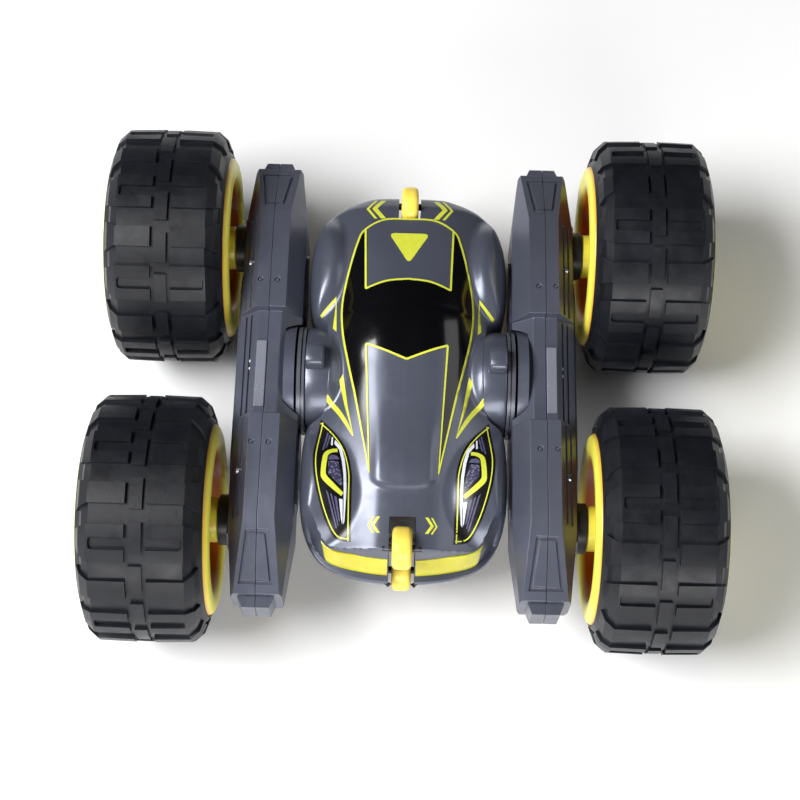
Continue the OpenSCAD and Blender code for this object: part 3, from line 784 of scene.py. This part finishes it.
def make_lines():
    outer = spline(CANOPY_LINE, 8)
    lines = stroke(outer, LINE_WIDTH, [1] * 9 + [0.6])
    lines += stroke(spline(CANOPY_FRONT[:2], 12), LINE_WIDTH, [0.5, 1])
    lines += stroke(spline(CANOPY_FRONT[1:], 8), LINE_WIDTH)
    lines += stroke(spline(DECK_FRONT, 6), LINE_WIDTH)
    lines += stroke(spline([DECK_FRONT[-1], DECK_CORNER], 12), LINE_WIDTH)
    printed("canopy_lines", mirrored(lines), INK, 0.26, 0.8)


def make_marks():
    """Chevrons, the deck triangle and the flashes on the wheel arches."""
    def chevron(x, y, reach, rise, width):
        half = width / 2
        return [[(x - reach - half, y + rise), (x - reach + half, y + rise), (x + half, y),
                 (x - half, y)],
                [(x - half, y), (x + half, y), (x - reach + half, y - rise),
                 (x - reach - half, y - rise)]]
    marks = chevron(12.2, 49.7, 2.4, 3.9, 0.8) + chevron(10.2, 49.7, 2.6, 3.9, 1.5)
    marks += chevron(9.2, -46.1, 1.3, 2.2, 0.5) + chevron(8.0, -46.1, 1.5, 2.2, 0.9)
    marks.append([(20.2, 20.8), (24.7, 16.1), (24.1, 15.4), (20.3, 19.6)])
    marks.append([(20.2, 20.2), (20.9, 11.2), (19.8, 9.9), (20.0, 16.0)])
    marks.append([(17.5, -3.0), (18.5, -4.9), (16.7, -12.5), (14.0, -21.4), (15.9, -12.5),
                  (17.1, -5.0)])
    marks += stroke(spline([(22.3, -8.9), (19.0, -12.9), (16.4, -17.0), (14.1, -21.3)], 6), 1.25,
                    [1, 1, 0.8, 0.25])
    printed("printed_marks", mirrored(marks), INK, 0.07, 0.8)
    triangle = rounded([(-5.9, 40.2), (0, 29.3), (5.9, 40.2)], 1.9, 6)
    printed("deck_triangle", [triangle], INK, 0.07, 0.8)


LAMP_OUTER = [(23.3, -15.0), (24.3, -22.3), (24.8, -28.3), (24.0, -35.1), (21.5, -43.5),
              (18.2, -48.9), (13.8, -50.3)]
LAMP_INNER = [(13.8, -50.3), (13.9, -47.0), (14.0, -38.2), (14.2, -31.4), (15.9, -25.0),
              (19.0, -19.9), (23.3, -15.0)]


def shrunk(points, distance):
    """A closed outline moved inwards, for outlines that run clockwise seen from above."""
    p = np.array(points, float)
    ahead = np.roll(p, -1, axis=0) - p
    behind = p - np.roll(p, 1, axis=0)
    ahead /= np.linalg.norm(ahead, axis=1)[:, None]
    behind /= np.linalg.norm(behind, axis=1)[:, None]
    along = ahead + behind
    along /= np.linalg.norm(along, axis=1)[:, None]
    inward = np.column_stack([along[:, 1], -along[:, 0]])
    squeeze = np.clip(np.abs((along * ahead).sum(axis=1)), 0.45, 1)
    return [tuple(q) for q in p + inward * (distance / squeeze)[:, None]]


def ring_between(outer, inner):
    n = len(outer)
    return [[outer[i], outer[(i + 1) % n], inner[(i + 1) % n], inner[i]] for i in range(n)]


def make_lamp_art():
    """Printed headlights: border, outline, reflector crescents, eyebrow and honeycomb."""
    edge = spline(LAMP_OUTER, 5)[:-1] + spline(LAMP_INNER, 5)[:-1]
    printed("lamp_ground", mirrored([edge]), INK_BLACK, 0.06, 0.9)
    outline = ring_between(shrunk(edge, 0.62), shrunk(edge, 0.94))
    crescent = [(19.0, -22.0), (17.1, -24.4), (16.1, -28.3), (15.6, -32.0), (15.4, -35.6),
                (15.4, -38.3), (15.7, -44.8), (16.0, -45.6), (16.0, -41.2), (16.1, -37.0),
                (16.3, -32.7), (16.9, -28.6), (17.8, -25.1), (19.2, -23.2)]
    silver = [crescent, [(20.0, -21.0), (19.6, -21.1), (19.6, -23.8), (20.1, -23.7)],
              [(17.3, -39.3), (16.3, -39.4), (16.2, -45.6), (16.6, -44.4)]]
    brow = stroke(spline([(18.2, -25.4), (19.7, -25.6), (21.2, -26.7), (21.6, -28.8), (21.8, -32.0),
                          (21.5, -33.6), (19.8, -35.4), (18.0, -36.9), (16.4, -38.1)], 4), 1.3,
                  [0.85, 0.9, 1.0, 1.05, 1.05, 1.2, 1.15, 1.0, 0.8])
    violet = [[(21.3, -19.4), (20.9, -19.7), (21.9, -25.2), (22.4, -25.6)],
              [(20.7, -20.3), (20.3, -20.6), (21.1, -24.5), (21.5, -24.7)],
              [(20.9, -37.2), (20.3, -37.9), (17.6, -46.6), (18.1, -46.4)],
              [(19.7, -38.0), (19.2, -38.4), (17.2, -46.0), (17.5, -45.9)],
              [(18.6, -38.7), (17.9, -39.0), (16.9, -45.0), (17.3, -44.6)],
              [(20.5, -27.5), (19.7, -26.9), (18.2, -27.2), (17.6, -28.2), (20.5, -28.5)]]
    honeycomb = [(20.5, -28.9), (17.9, -28.9), (17.2, -31.5), (16.5, -35.4), (16.9, -35.8),
                 (18.7, -34.3), (20.4, -32.6)]
    printed("lamp_outline", mirrored(outline), INK, 0.09, 0.9)
    printed("lamp_silver", mirrored(silver), INK_WHITE, 0.09, 0.9)
    printed("lamp_brow", mirrored(brow), INK, 0.1, 0.9)
    printed("lamp_violet", mirrored(violet), INK_VIOLET, 0.09, 0.9)
    printed("lamp_honeycomb", mirrored([honeycomb]), INK_MESH, 0.09, 0.9)


# ---------------------------------------------------------------- front light strip

def front_curve(side):
    """Points of the nose outline from the bay to the strip's end, with inward normals."""
    line = PLAN_CURVE[PLAN_CURVE[:, 1] < -40][::-1]
    length = np.concatenate([[0], np.cumsum(np.linalg.norm(np.diff(line, axis=0), axis=1))])
    even = np.linspace(0, length[-1], 400)
    p = np.column_stack([np.interp(even, length, line[:, i]) for i in (0, 1)])
    t = np.gradient(p, axis=0)
    t /= np.linalg.norm(t, axis=1)[:, None]
    normal = np.column_stack([-t[:, 1], t[:, 0]])
    p[:, 0] *= side
    normal[:, 0] *= side
    return p, normal, even


def make_lens(side):
    """Clear yellow half of the front light, ribbed towards its outer end."""
    p, normal, along = front_curve(side)
    profile = [(2.0, -1.95), (1.85, -1.55), (2.1, -0.8), (2.7, 1.0), (3.35, 3.0), (3.9, 4.5),
               (4.2, 5.15), (4.7, 5.3)]
    bm = bmesh.new()
    rows = []
    for k, (d, z) in enumerate(profile):
        share = k / (len(profile) - 1)
        first, last = 4.0, 20.8 + 6.4 * share
        row = []
        for s in np.linspace(first, last, 150):
            x, y = (np.interp(s, along, p[:, i]) for i in (0, 1))
            nx, ny = (np.interp(s, along, normal[:, i]) for i in (0, 1))
            ribbed = ramp(s, 10.5, 11.3) * (1 - ramp(s, 17.6, 18.2))
            rib = 0.1 * abs(math.sin(s * math.pi / 1.15)) * ribbed * (0 < k < len(profile) - 1)
            inset = (d + rib) / float(lip_scale(x))
            row.append((x + nx * inset, y + ny * inset, z))
        rows.append(row)
    grid(bm, rows)
    lens = to_object(f"front_light_{NAMES[side]}", bm, LENS, "car_body",
                     [f"headlamp_lens_{NAMES[side]}"], 40)
    m = lens.modifiers.new("wall", "SOLIDIFY")
    m.thickness = 0.7 * MM
    m.offset = -1
    return lens


# ---------------------------------------------------------------- rollers

ROLLER_Y = {-1: -52.1, 1: 51.5}


def make_roller(end, level):
    """Rounded bumper roller with a hub face set in on both sides."""
    name = f"roller_{'front' if end < 0 else 'rear'}_{'upper' if level > 0 else 'lower'}"
    r, w = 5.8, (2.7 if end < 0 else 2.45)
    half = [(1.12, w - 0.5), (2.2, w - 0.5), (2.5, w - 0.1), (3.0, w), (r - 1.5, w),
            (r - 0.75, w - 0.2), (r - 0.25, w - 0.65), (r - 0.03, w - 1.3), (r, 0.6)]
    bm = bmesh.new()
    turned(bm, half + [(a, -x) for a, x in half[::-1]], 96)
    place(bm, 0, ROLLER_Y[end], level * 10.2)
    return to_object(f"{name}_wheel", bm, YELLOW, name, [name], 35)


# ---------------------------------------------------------------- tyres

ROUND = 144                  # flats around a wheel

# Floor of the tread from its middle outwards, as distance across the wheel and radius.
TREAD_FLOOR = np.array([(0.0, 33.1), (12.2, 32.75), (14.2, 31.0), (15.2, 28.4)])
TREAD_STEP = 0.9             # height of a lug above the floor
TREAD_ROOT = -0.6            # how deep its sides reach into the carcass
REPEATS = 8                  # a split lug and a small one in each row
BAND_BLOCKS = 18             # small blocks in the middle band
DEGREE = 34.0 * math.pi / 180
LUG, LEG, GAP, SMALL = 10.1, 3.4, 5.5, 5.6    # lengths around the tread
ROW_START, SHOULDER, ROW_END = 2.7, 12.2, 17.6  # places across it, along the floor
BAND_HALF, BAND_BLOCK = 1.65, 8.4

# How far each wheel has rolled, in degrees.
ROLLED = {("front", "right"): -2.3, ("front", "left"): -113.7, ("rear", "right"): -131.8,
          ("rear", "left"): -53.3}


def tread_knots():
    """Arc lengths along the tread floor and the outward direction at each of its points."""
    steps = np.diff(TREAD_FLOOR, axis=0)
    lengths = np.linalg.norm(steps, axis=1)
    normals = np.column_stack([-steps[:, 1], steps[:, 0]]) / lengths[:, None]
    outward = [np.array([0.0, 1.0])]
    for a, b in zip(normals, normals[1:]):
        outward.append((a + b) / (1 + a @ b))
    outward.append(normals[-1])
    return np.concatenate([[0], np.cumsum(lengths)]), np.array(outward)


TREAD_ARC, TREAD_OUT = tread_knots()


def on_tread(around, across, height, turn):
    """A point of the tread, around it and across it in millimetres, above its floor."""
    ring = TREAD_FLOOR + TREAD_OUT * height
    x, r = (np.interp(abs(across), TREAD_ARC, ring[:, i]) for i in (0, 1))
    angle = math.radians(around / DEGREE + turn)
    return math.copysign(x, across), -r * math.sin(angle), r * math.cos(angle)


def tread_block(outline, height):
    """A block of the tread laid out flat: its points and its faces."""
    bm = bmesh.new()
    bm.faces.new([bm.verts.new((a, b, height)) for a, b in outline])
    for knot in TREAD_ARC[1:-1]:
        for across in (-knot, knot):
            cut(bm, (0, across, 0), (0, 1, 0))
    low = min(a for a, b in outline)
    high = max(a for a, b in outline)
    count = math.ceil((high - low) / 1.7)
    for i in range(1, count):
        cut(bm, (low + (high - low) * i / count, 0, 0), (1, 0, 0))
    bmesh.ops.remove_doubles(bm, verts=bm.verts, dist=1e-4)
    rim = [e for e in bm.edges if len(e.link_faces) == 1]
    made = bmesh.ops.extrude_edge_only(bm, edges=rim)["geom"]
    for v in (g for g in made if isinstance(g, bmesh.types.BMVert)):
        v.co.z = TREAD_ROOT
    bm.verts.index_update()
    block = [tuple(v.co) for v in bm.verts], [[v.index for v in f.verts] for f in bm.faces]
    bm.free()
    return block


def lug_outlines():
    """Split lug, open towards the middle band, and small lug that flares at the shoulder."""
    split = rounded([(0, ROW_START), (LEG, ROW_START), (LEG, SHOULDER - 0.5),
                     (LUG - LEG, SHOULDER - 0.5), (LUG - LEG, ROW_START), (LUG, ROW_START),
                     (LUG, SHOULDER), (LUG - 2.1, ROW_END), (2.1, ROW_END), (0, SHOULDER)],
                    [0, 0, 0.9, 0.9, 0, 0, 0, 0, 0, 0], 4)
    start = LUG + GAP
    end = start + SMALL
    small = [(start, ROW_START), (end, ROW_START), (end, SHOULDER), (end + 2.1, ROW_END),
             (start - 2.1, ROW_END), (start, SHOULDER)]
    return split, small


TREAD_BLOCKS = [tread_block(outline, TREAD_STEP) for outline in lug_outlines()]
BAND = tread_block([(-BAND_BLOCK / 2, -BAND_HALF), (BAND_BLOCK / 2, -BAND_HALF),
                    (BAND_BLOCK / 2, BAND_HALF), (-BAND_BLOCK / 2, BAND_HALF)], 0.62)


def stamp(bm, block, turn, row=1):
    """Adds a laid-out block to a tyre, turned about the axle, in either row."""
    points, faces = block
    verts = [bm.verts.new(on_tread(a, row * b, h, turn)) for a, b, h in points]
    for f in faces:
        bm.faces.new([verts[i] for i in f])


def make_tyre(end, side):
    """Balloon tyre: carcass, two rows of lugs and the band of small blocks between them."""
    bm = bmesh.new()
    floor = [(r, x) for x, r in TREAD_FLOOR[1:]]
    wall = [(27.6, 16.0), (26.95, 16.6), (26.6, 16.6), (26.45, 16.3), (26.5, 15.0), (28.2, 14.0),
            (29.6, 11.0)]
    half = floor + wall
    turned(bm, half + [(r, -x) for r, x in half[::-1]], ROUND)
    rolled = ROLLED[end, side]
    for i in range(REPEATS):
        for row in (-1, 1):
            for block in TREAD_BLOCKS:
                stamp(bm, block, rolled + i * 360 / REPEATS, row)
    for i in range(BAND_BLOCKS):
        stamp(bm, BAND, rolled + 1 + i * 360 / BAND_BLOCKS)
    place(bm, WHEEL_X, ENDS[end] * WHEEL_Y, 0, SIDES[side])
    name = f"tyre_{end}_{side}"
    tyre = to_object(f"{name}_tread", bm, TYRE, f"wheel_{end}_{side}", [name], 20)
    return bevel(tyre, 0.22, 2, 48)


# ---------------------------------------------------------------- rims

RIM_FACE = -18.15            # inner face of a rim from the middle of its wheel
SPOKES = 6


def make_rim(end, side):
    """Deep-dish rim: barrel with a broad inner flange, hub tube and outer spokes."""
    body = f"wheel_{end}_{side}"
    name = f"rim_{end}_{side}"
    middle = (WHEEL_X, ENDS[end] * WHEEL_Y, 0, SIDES[side])

    bm = bmesh.new()
    turned(bm, [(26.4, -15.6), (26.4, -16.2), (26.1, -16.9), (25.5, -17.5), (24.2, -18.0),
                (22.6, RIM_FACE), (21.1, -17.9), (20.3, -17.4), (19.8, -16.5), (19.0, -6),
                (18.4, 5.5), (17.8, 7.2), (16.6, 8.0), (5.0, 8.0), (5.0, 10.0), (15, 10.2),
                (22.2, 11.4), (23.2, 12.2), (23.7, 16.1), (24.1, 16.75), (24.8, 17.0),
                (25.8, 16.9), (26.3, 16.4), (26.4, 15.2), (25.0, 14.6), (24.9, -14.2),
                (26.4, -14.8)], ROUND)
    place(bm, *middle)
    barrel = to_object(f"{name}_barrel", bm, RIM_PAINTED_SHADE, body, [name], 32)

    bm = bmesh.new()
    turned(bm, [(2.6, -18.2), (5.8, -18.2), (6.2, -17.95), (6.3, -17.5), (6.3, 8.2), (6.9, 9.8),
                (6.9, 11.1), (6.5, 11.5), (3.7, 11.5), (3.4, 11.2), (3.4, 10.0), (1.4, 10.0),
                (1.4, 5.0), (2.6, 5.0)], 96)
    place(bm, *middle)
    to_object(f"{name}_hub", bm, RIM, body, (), 32)

    ribs = []
    for i in range(SPOKES):
        turn = Matrix.Rotation(2 * math.pi * i / SPOKES, 4, "X")
        spoke = prism([(-3.6, 6.2), (3.6, 6.2), (2.3, 14), (2.9, 23.4), (-2.9, 23.4), (-2.3, 14)],
                      9.4, 12.9)
        web = prism([(-0.6, 5.8), (0.6, 5.8), (0.6, 18.6), (-0.6, 18.6)], 2.5, 8.5)
        for rib in (spoke, web):
            bmesh.ops.transform(rib, matrix=turn, verts=rib.verts)
            ribs.append(rib)
    bm = joined(ribs)
    place(bm, *middle)
    spokes = to_object(f"{name}_spokes", bm, RIM, body, (), 32)
    bevel(spokes, 0.6, 3)
    return barrel


# ---------------------------------------------------------------- swing arms

ARM_X = 38.9                 # seam between the two shells of an arm
ARM_IN, ARM_OUT = 9.2, 8.3   # thickness of its inner and outer shell
ARM_TOP, ARM_MIDDLE_TOP, ARM_END_TOP = 15.6, 13.1, 6.9
ARM_SLOPE, ARM_END = 46.0, 64.9  # where an arm starts to slope down and where it ends
DIMPLES = [(u, y) for y in (-24.5, 24.5) for u in (-2.0, 2.8)]

# Sections along an arm: distance from the pivot, top, both edges of the top band, height of
# the widest line and the thickness on both sides of the seam.
ARM_SECTIONS = [(0, ARM_MIDDLE_TOP, -3.5, 3.1, 8.6, ARM_IN, ARM_OUT),
                (15.7, ARM_MIDDLE_TOP, -3.5, 3.1, 8.6, ARM_IN, ARM_OUT),
                (16.0, ARM_TOP, -4.7, 3.7, 9.0, ARM_IN, ARM_OUT),
                (ARM_SLOPE, ARM_TOP, -4.7, 3.7, 9.0, ARM_IN, ARM_OUT),
                (ARM_END, ARM_END_TOP, -6.5, 6.0, 4.6, 7.1, 6.8)]


def arm_hull():
    """Whole arm about its seam, from end to end."""
    bm = bmesh.new()
    stations = [(-y, *rest) for y, *rest in ARM_SECTIONS[:0:-1]] + ARM_SECTIONS[1:]
    rings = [[(u, y, z) for u, z in ((-inward, low), (left, top), (right, top), (outward, low),
                                     (outward, -low), (right, -top), (left, -top), (-inward, -low))]
             for y, top, left, right, low, inward, outward in stations]
    rows = grid(bm, rings, closed_columns=True)
    fan(bm, rows[0])
    fan(bm, rows[-1])
    return bm


def slope_block(outline, end, flip, low, high):
    """A block standing on an arm's sloped end, for an outline of (across, along the arm)."""
    run, fall = ARM_END - ARM_SLOPE, ARM_TOP - ARM_END_TOP
    bm = prism(outline, low, high, "z")
    for v in bm.verts:
        v.co.z += ARM_TOP - (v.co.y - ARM_SLOPE) * fall / run
        v.co.y *= end
        v.co.z *= flip
    return bm


def panel_grooves():
    """Cutters for the groove that frames the panel on each sloped face."""
    outer = [(-3.1, 49.1), (2.9, 49.1), (4.6, 62.4), (-4.8, 62.4)]
    inner = [(-2.2, 50.0), (2.0, 50.0), (3.6, 61.5), (-3.8, 61.5)]
    sides = [[outer[i], outer[(i + 1) % 4], inner[(i + 1) % 4], inner[i]] for i in range(4)]
    for end in (-1, 1):
        for flip in (-1, 1):
            for side in sides:
                yield slope_block(side, end, flip, -0.65, 2.0)


def rod(x0, x1, r, y=0.0, z=0.0, steps=64):
    """A closed cylinder along X."""
    return prism(circle(y, z, r, steps), x0, x1)


def upright(x, y, z0, z1, r, steps=24):
    """A closed cylinder along Z."""
    return prism(circle(x, y, r, steps), z0, z1, "z")


def arm_cutters():
    """What is taken out of an arm, about its seam: pivot pocket, grooves and dimples."""
    yield rod(-12, -4.9, 16.2, steps=96)
    yield from panel_grooves()
    for u, y in DIMPLES:
        for flip in (-1, 1):
            yield upright(u, y, flip * 15.1, flip * 17, 0.72)
    for end in (-1, 1):
        y0, y1 = end * 64.3, end * 68
        for flip in (-1, 1):
            low, high = sorted((flip * 3.4, flip * 5.6))
            yield prism([(-4.0, y0), (2.6, y0), (2.6, y1), (-4.0, y1)], low, high, "z")
    for z in (-3.2, 3.2):
        yield prism(rounded([(-29, z - 0.5), (29, z - 0.5), (29, z + 0.5), (-29, z + 0.5)], 0.45, 3),
                    ARM_OUT - 0.5, ARM_OUT + 2)


def arm_ridges():
    """Cutters for the long grooves on the outer slopes, which leave ridges between them."""
    for u, low, y0, y1 in ((5.0, 12.7, 16.6, 45), (6.5, 10.6, 16.6, 45), (4.6, 10.8, -15, 15),
                           (6.1, 9.5, -15, 15)):
        for end in ((-1, 1) if y0 > 0 else (1,)):
            for flip in (-1, 1):
                strip = [(u, end * y0), (u + 0.55, end * y0), (u + 0.55, end * y1), (u, end * y1)]
                z0, z1 = sorted((flip * low, flip * 18))
                yield prism(strip, z0, z1, "z")


def arm_details():
    """Raised shapes on an arm, each as a block and the half it belongs to."""
    for end in (-1, 1):
        nose = prism([(-5.4, end * 64), (5.4, end * 64), (3.7, end * 68.0), (-3.7, end * 68.0)],
                     -4.8, 4.8, "z")
        yield nose, 0
        upper = [(18, 4.6), (24, 6.6), (31, 5.6), (38, 2.4)]
        lower = [(y, -z) for y, z in reversed(upper)]
        bulge = [(end * y, z) for y, z in [(15, 0), *upper, (40, 0), *lower]]
        yield prism(bulge, -ARM_IN - 0.55, -ARM_IN + 1), -1
        yield prism([(end * 31, 6.4), (end * 48, 6.4), (end * 50, 4), (end * 50, -4),
                     (end * 48, -6.4), (end * 31, -6.4)], ARM_OUT - 1, ARM_OUT + 0.5), 1
    yield prism([(-27, 7.0), (27, 7.0), (31, 4.6), (31, -4.6), (27, -7.0), (-27, -7.0), (-31, -4.6),
                 (-31, 4.6)], ARM_OUT - 1, ARM_OUT + 0.7), 1
    for flip in (-1, 1):
        for u, y in DIMPLES:
            low, high = sorted((flip * 15.0, flip * 15.45))
            yield upright(u, y, low, high, 0.5, 12), (1 if u > 0 else -1)


def make_strips(side):
    """Light strips on the low middle of an arm, above and below."""
    strips = []
    for flip in (-1, 1):
        low, high = sorted((flip * 12.6, flip * (ARM_MIDDLE_TOP + 0.5)))
        strips.append(prism([(0.1, -13.4), (2.95, -13.4), (2.95, 6.5), (0.1, 6.5)], low, high, "z"))
    bm = joined(strips)
    place(bm, ARM_X, 0, 0, SIDES[side])
    strip = to_object(f"arm_strips_{side}", bm, STRIP, f"arm_{side}", (), 30)
    bevel(strip, 0.3, 2, 25)


def clipped(bm, half):
    """The part of a closed bmesh on one side of the seam, closed again with a flat face."""
    everything = [*bm.verts, *bm.edges, *bm.faces]
    bmesh.ops.bisect_plane(bm, geom=everything, plane_co=(half * 0.04, 0, 0), plane_no=(half, 0, 0),
                           clear_inner=True, dist=1e-5)
    rim = [e for e in bm.edges if len(e.link_faces) == 1]
    if rim:
        bmesh.ops.holes_fill(bm, edges=rim, sides=0)
    return bm


def make_arm(side):
    """The two shells of a swing arm, inner towards the car and outer towards the wheels."""
    for half, name in ((-1, "inner"), (1, "outer")):
        hull = carve(arm_hull(), [*arm_cutters(), *arm_ridges()])
        bmesh.ops.dissolve_limit(hull, angle_limit=math.radians(0.5), verts=hull.verts,
                                 edges=hull.edges)
        hull = clipped(hull, half)
        place(hull, ARM_X, 0, 0, SIDES[side])
        node = f"arm_{name}_shell_{side}"
        shell = to_object(f"{node}_hull", hull, ARM, f"arm_{side}", [node], 30)
        bevel(shell, 0.3, 2, 25)
        parts = [clipped(block, half) if of_half == 0 else block
                 for block, of_half in arm_details() if of_half in (0, half)]
        trim = joined(parts)
        place(trim, ARM_X, 0, 0, SIDES[side])
        raised = to_object(f"{node}_trim", trim, ARM, f"arm_{side}", (), 30)
        bevel(raised, 0.3, 2, 25)


# ---------------------------------------------------------------- parts kept as designed

def cover(part, material, width=0.15):
    """A finish and small rounded edges for a part that keeps its own shape."""
    for finish in part.material_slots:
        finish.link = "OBJECT"
        finish.material = material
    if width:
        bevel(part, width, 2, 35)


def cover_kept_parts():
    shared = {"roller_pins": BLACK_AND_PAINTED_SHADE, "battery_door": ARM, "battery_pack": WRAP, "circuit_board": BOARD,
              "headlamp_boards": BOARD, "switch_slider": BLACK_AND_PAINTED_SHADE, "switch_housing": BLACK_AND_PAINTED_SHADE,
              "case_screws": STEEL}
    for side in SIDES:
        shared[f"pivot_ring_{side}"] = RING
        shared[f"pivot_hub_{side}"] = ARM
        shared[f"motor_{side}"] = STEEL
        shared[f"motor_pinion_{side}"] = BRASS
        shared[f"gear_pins_{side}"] = STEEL
        shared[f"arm_screws_{side}"] = STEEL
        shared[f"axle_bosses_{side}"] = BLACK_AND_PAINTED_SHADE
        for gear in ("drive_idler", "centre_gear", "front_idler"):
            shared[f"{gear}_{side}"] = NYLON
        for end in ENDS:
            shared[f"stub_axle_{end}_{side}"] = NYLON
            shared[f"wheel_screw_{end}_{side}"] = STEEL
    fine = ("gear", "idler", "pinion", "stub", "pins")
    for name, material in shared.items():
        cover(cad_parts[name], material, 0.05 if any(word in name for word in fine) else 0.15)


cover_kept_parts()
make_upper_shell()
make_lower_shell()
make_canopy()
make_lines()
make_marks()
make_lamp_art()
for side in (-1, 1):
    make_housing(side)
    make_lens(side)
for end in (-1, 1):
    for level in (-1, 1):
        make_roller(end, level)
for side in SIDES:
    make_arm(side)
    make_strips(side)
    for end in ENDS:
        make_tyre(end, side)
        make_rim(end, side)


# ---------------------------------------------------------------- floor, lights, camera

def make_stage():
    bm = bmesh.new()
    bmesh.ops.create_grid(bm, x_segments=2, y_segments=2, size=1.5)
    mesh = bpy.data.meshes.new("floor")
    bm.to_mesh(mesh)
    bm.free()
    floor = bpy.data.objects.new("floor", mesh)
    bpy.context.scene.collection.objects.link(floor)
    n = Nodes("pale_paper")
    n.link(n.mix(n.remap(n.noise(14, 4), 0.3, 0.7, 0, 1), (0.93, 0.93, 0.93, 1), (0.96, 0.96, 0.96, 1)),
           n.shader.inputs["Base Color"])
    n.set(Roughness=0.85)
    mesh.materials.append(n.material)


def make_world():
    """Room light: brighter on the left and near the horizon than on the right and overhead."""
    world = bpy.data.worlds.new("studio")
    bpy.context.scene.world = world
    world.use_nodes = True
    tree = world.node_tree
    where = tree.nodes.new("ShaderNodeTexCoord")
    split = tree.nodes.new("ShaderNodeSeparateXYZ")
    tree.links.new(where.outputs["Generated"], split.inputs["Vector"])
    product = tree.nodes.new("ShaderNodeMath")
    product.operation = "MULTIPLY"
    fades = (("Z", (0.25, 0.8, 0.85, 0.5)), ("X", (-1.0, 0.6, 1.25, 0.36)))
    for socket, (channel, limits) in zip(product.inputs, fades):
        fade = tree.nodes.new("ShaderNodeMapRange")
        tree.links.new(split.outputs[channel], fade.inputs["Value"])
        for key, value in zip(("From Min", "From Max", "To Min", "To Max"), limits):
            fade.inputs[key].default_value = value
        tree.links.new(fade.outputs["Result"], socket)
    tree.links.new(product.outputs[0], tree.nodes["Background"].inputs["Strength"])


def softbox(name, location, width, height, power):
    """A rectangular light aimed at the car."""
    light = bpy.data.lights.new(name, "AREA")
    light.shape = "RECTANGLE"
    light.size = width
    light.size_y = height
    light.energy = power
    lamp = bpy.data.objects.new(name, light)
    bpy.context.scene.collection.objects.link(lamp)
    lamp.location = location
    aim = Vector((0, 0, 0.03)) - Vector(location)
    lamp.rotation_euler = aim.to_track_quat("-Z", "Y").to_euler()


def make_lights():
    softbox("key_softbox", (-0.6, -0.15, 0.85), 0.6, 0.45, 15)
    softbox("fill_softbox", (0.7, 0.1, 0.6), 0.6, 0.4, 1.2)
    softbox("front_softbox", (0.05, -0.8, 0.35), 0.7, 0.3, 5)


def make_camera():
    tilt, roll = math.radians(67.7), math.radians(1.45)
    back = Vector((0, -math.cos(tilt), math.sin(tilt)))
    right = Vector((1, 0, 0))
    up = back.cross(right)
    across = right * math.cos(roll) + up * math.sin(roll)
    upward = -right * math.sin(roll) + up * math.cos(roll)
    data = bpy.data.cameras.new("camera")
    data.lens = 76.5
    data.sensor_width = 36
    data.clip_start, data.clip_end = 0.01, 10
    camera = bpy.data.objects.new("camera", data)
    bpy.context.scene.collection.objects.link(camera)
    camera.matrix_world = Matrix((
        (across.x, upward.x, back.x, -1.52 * MM),
        (across.y, upward.y, back.y, -188.2 * MM),
        (across.z, upward.z, back.z, (446.6 + AXLE) * MM),
        (0, 0, 0, 1)))
    bpy.context.scene.camera = camera


make_stage()
make_world()
make_lights()
make_camera()
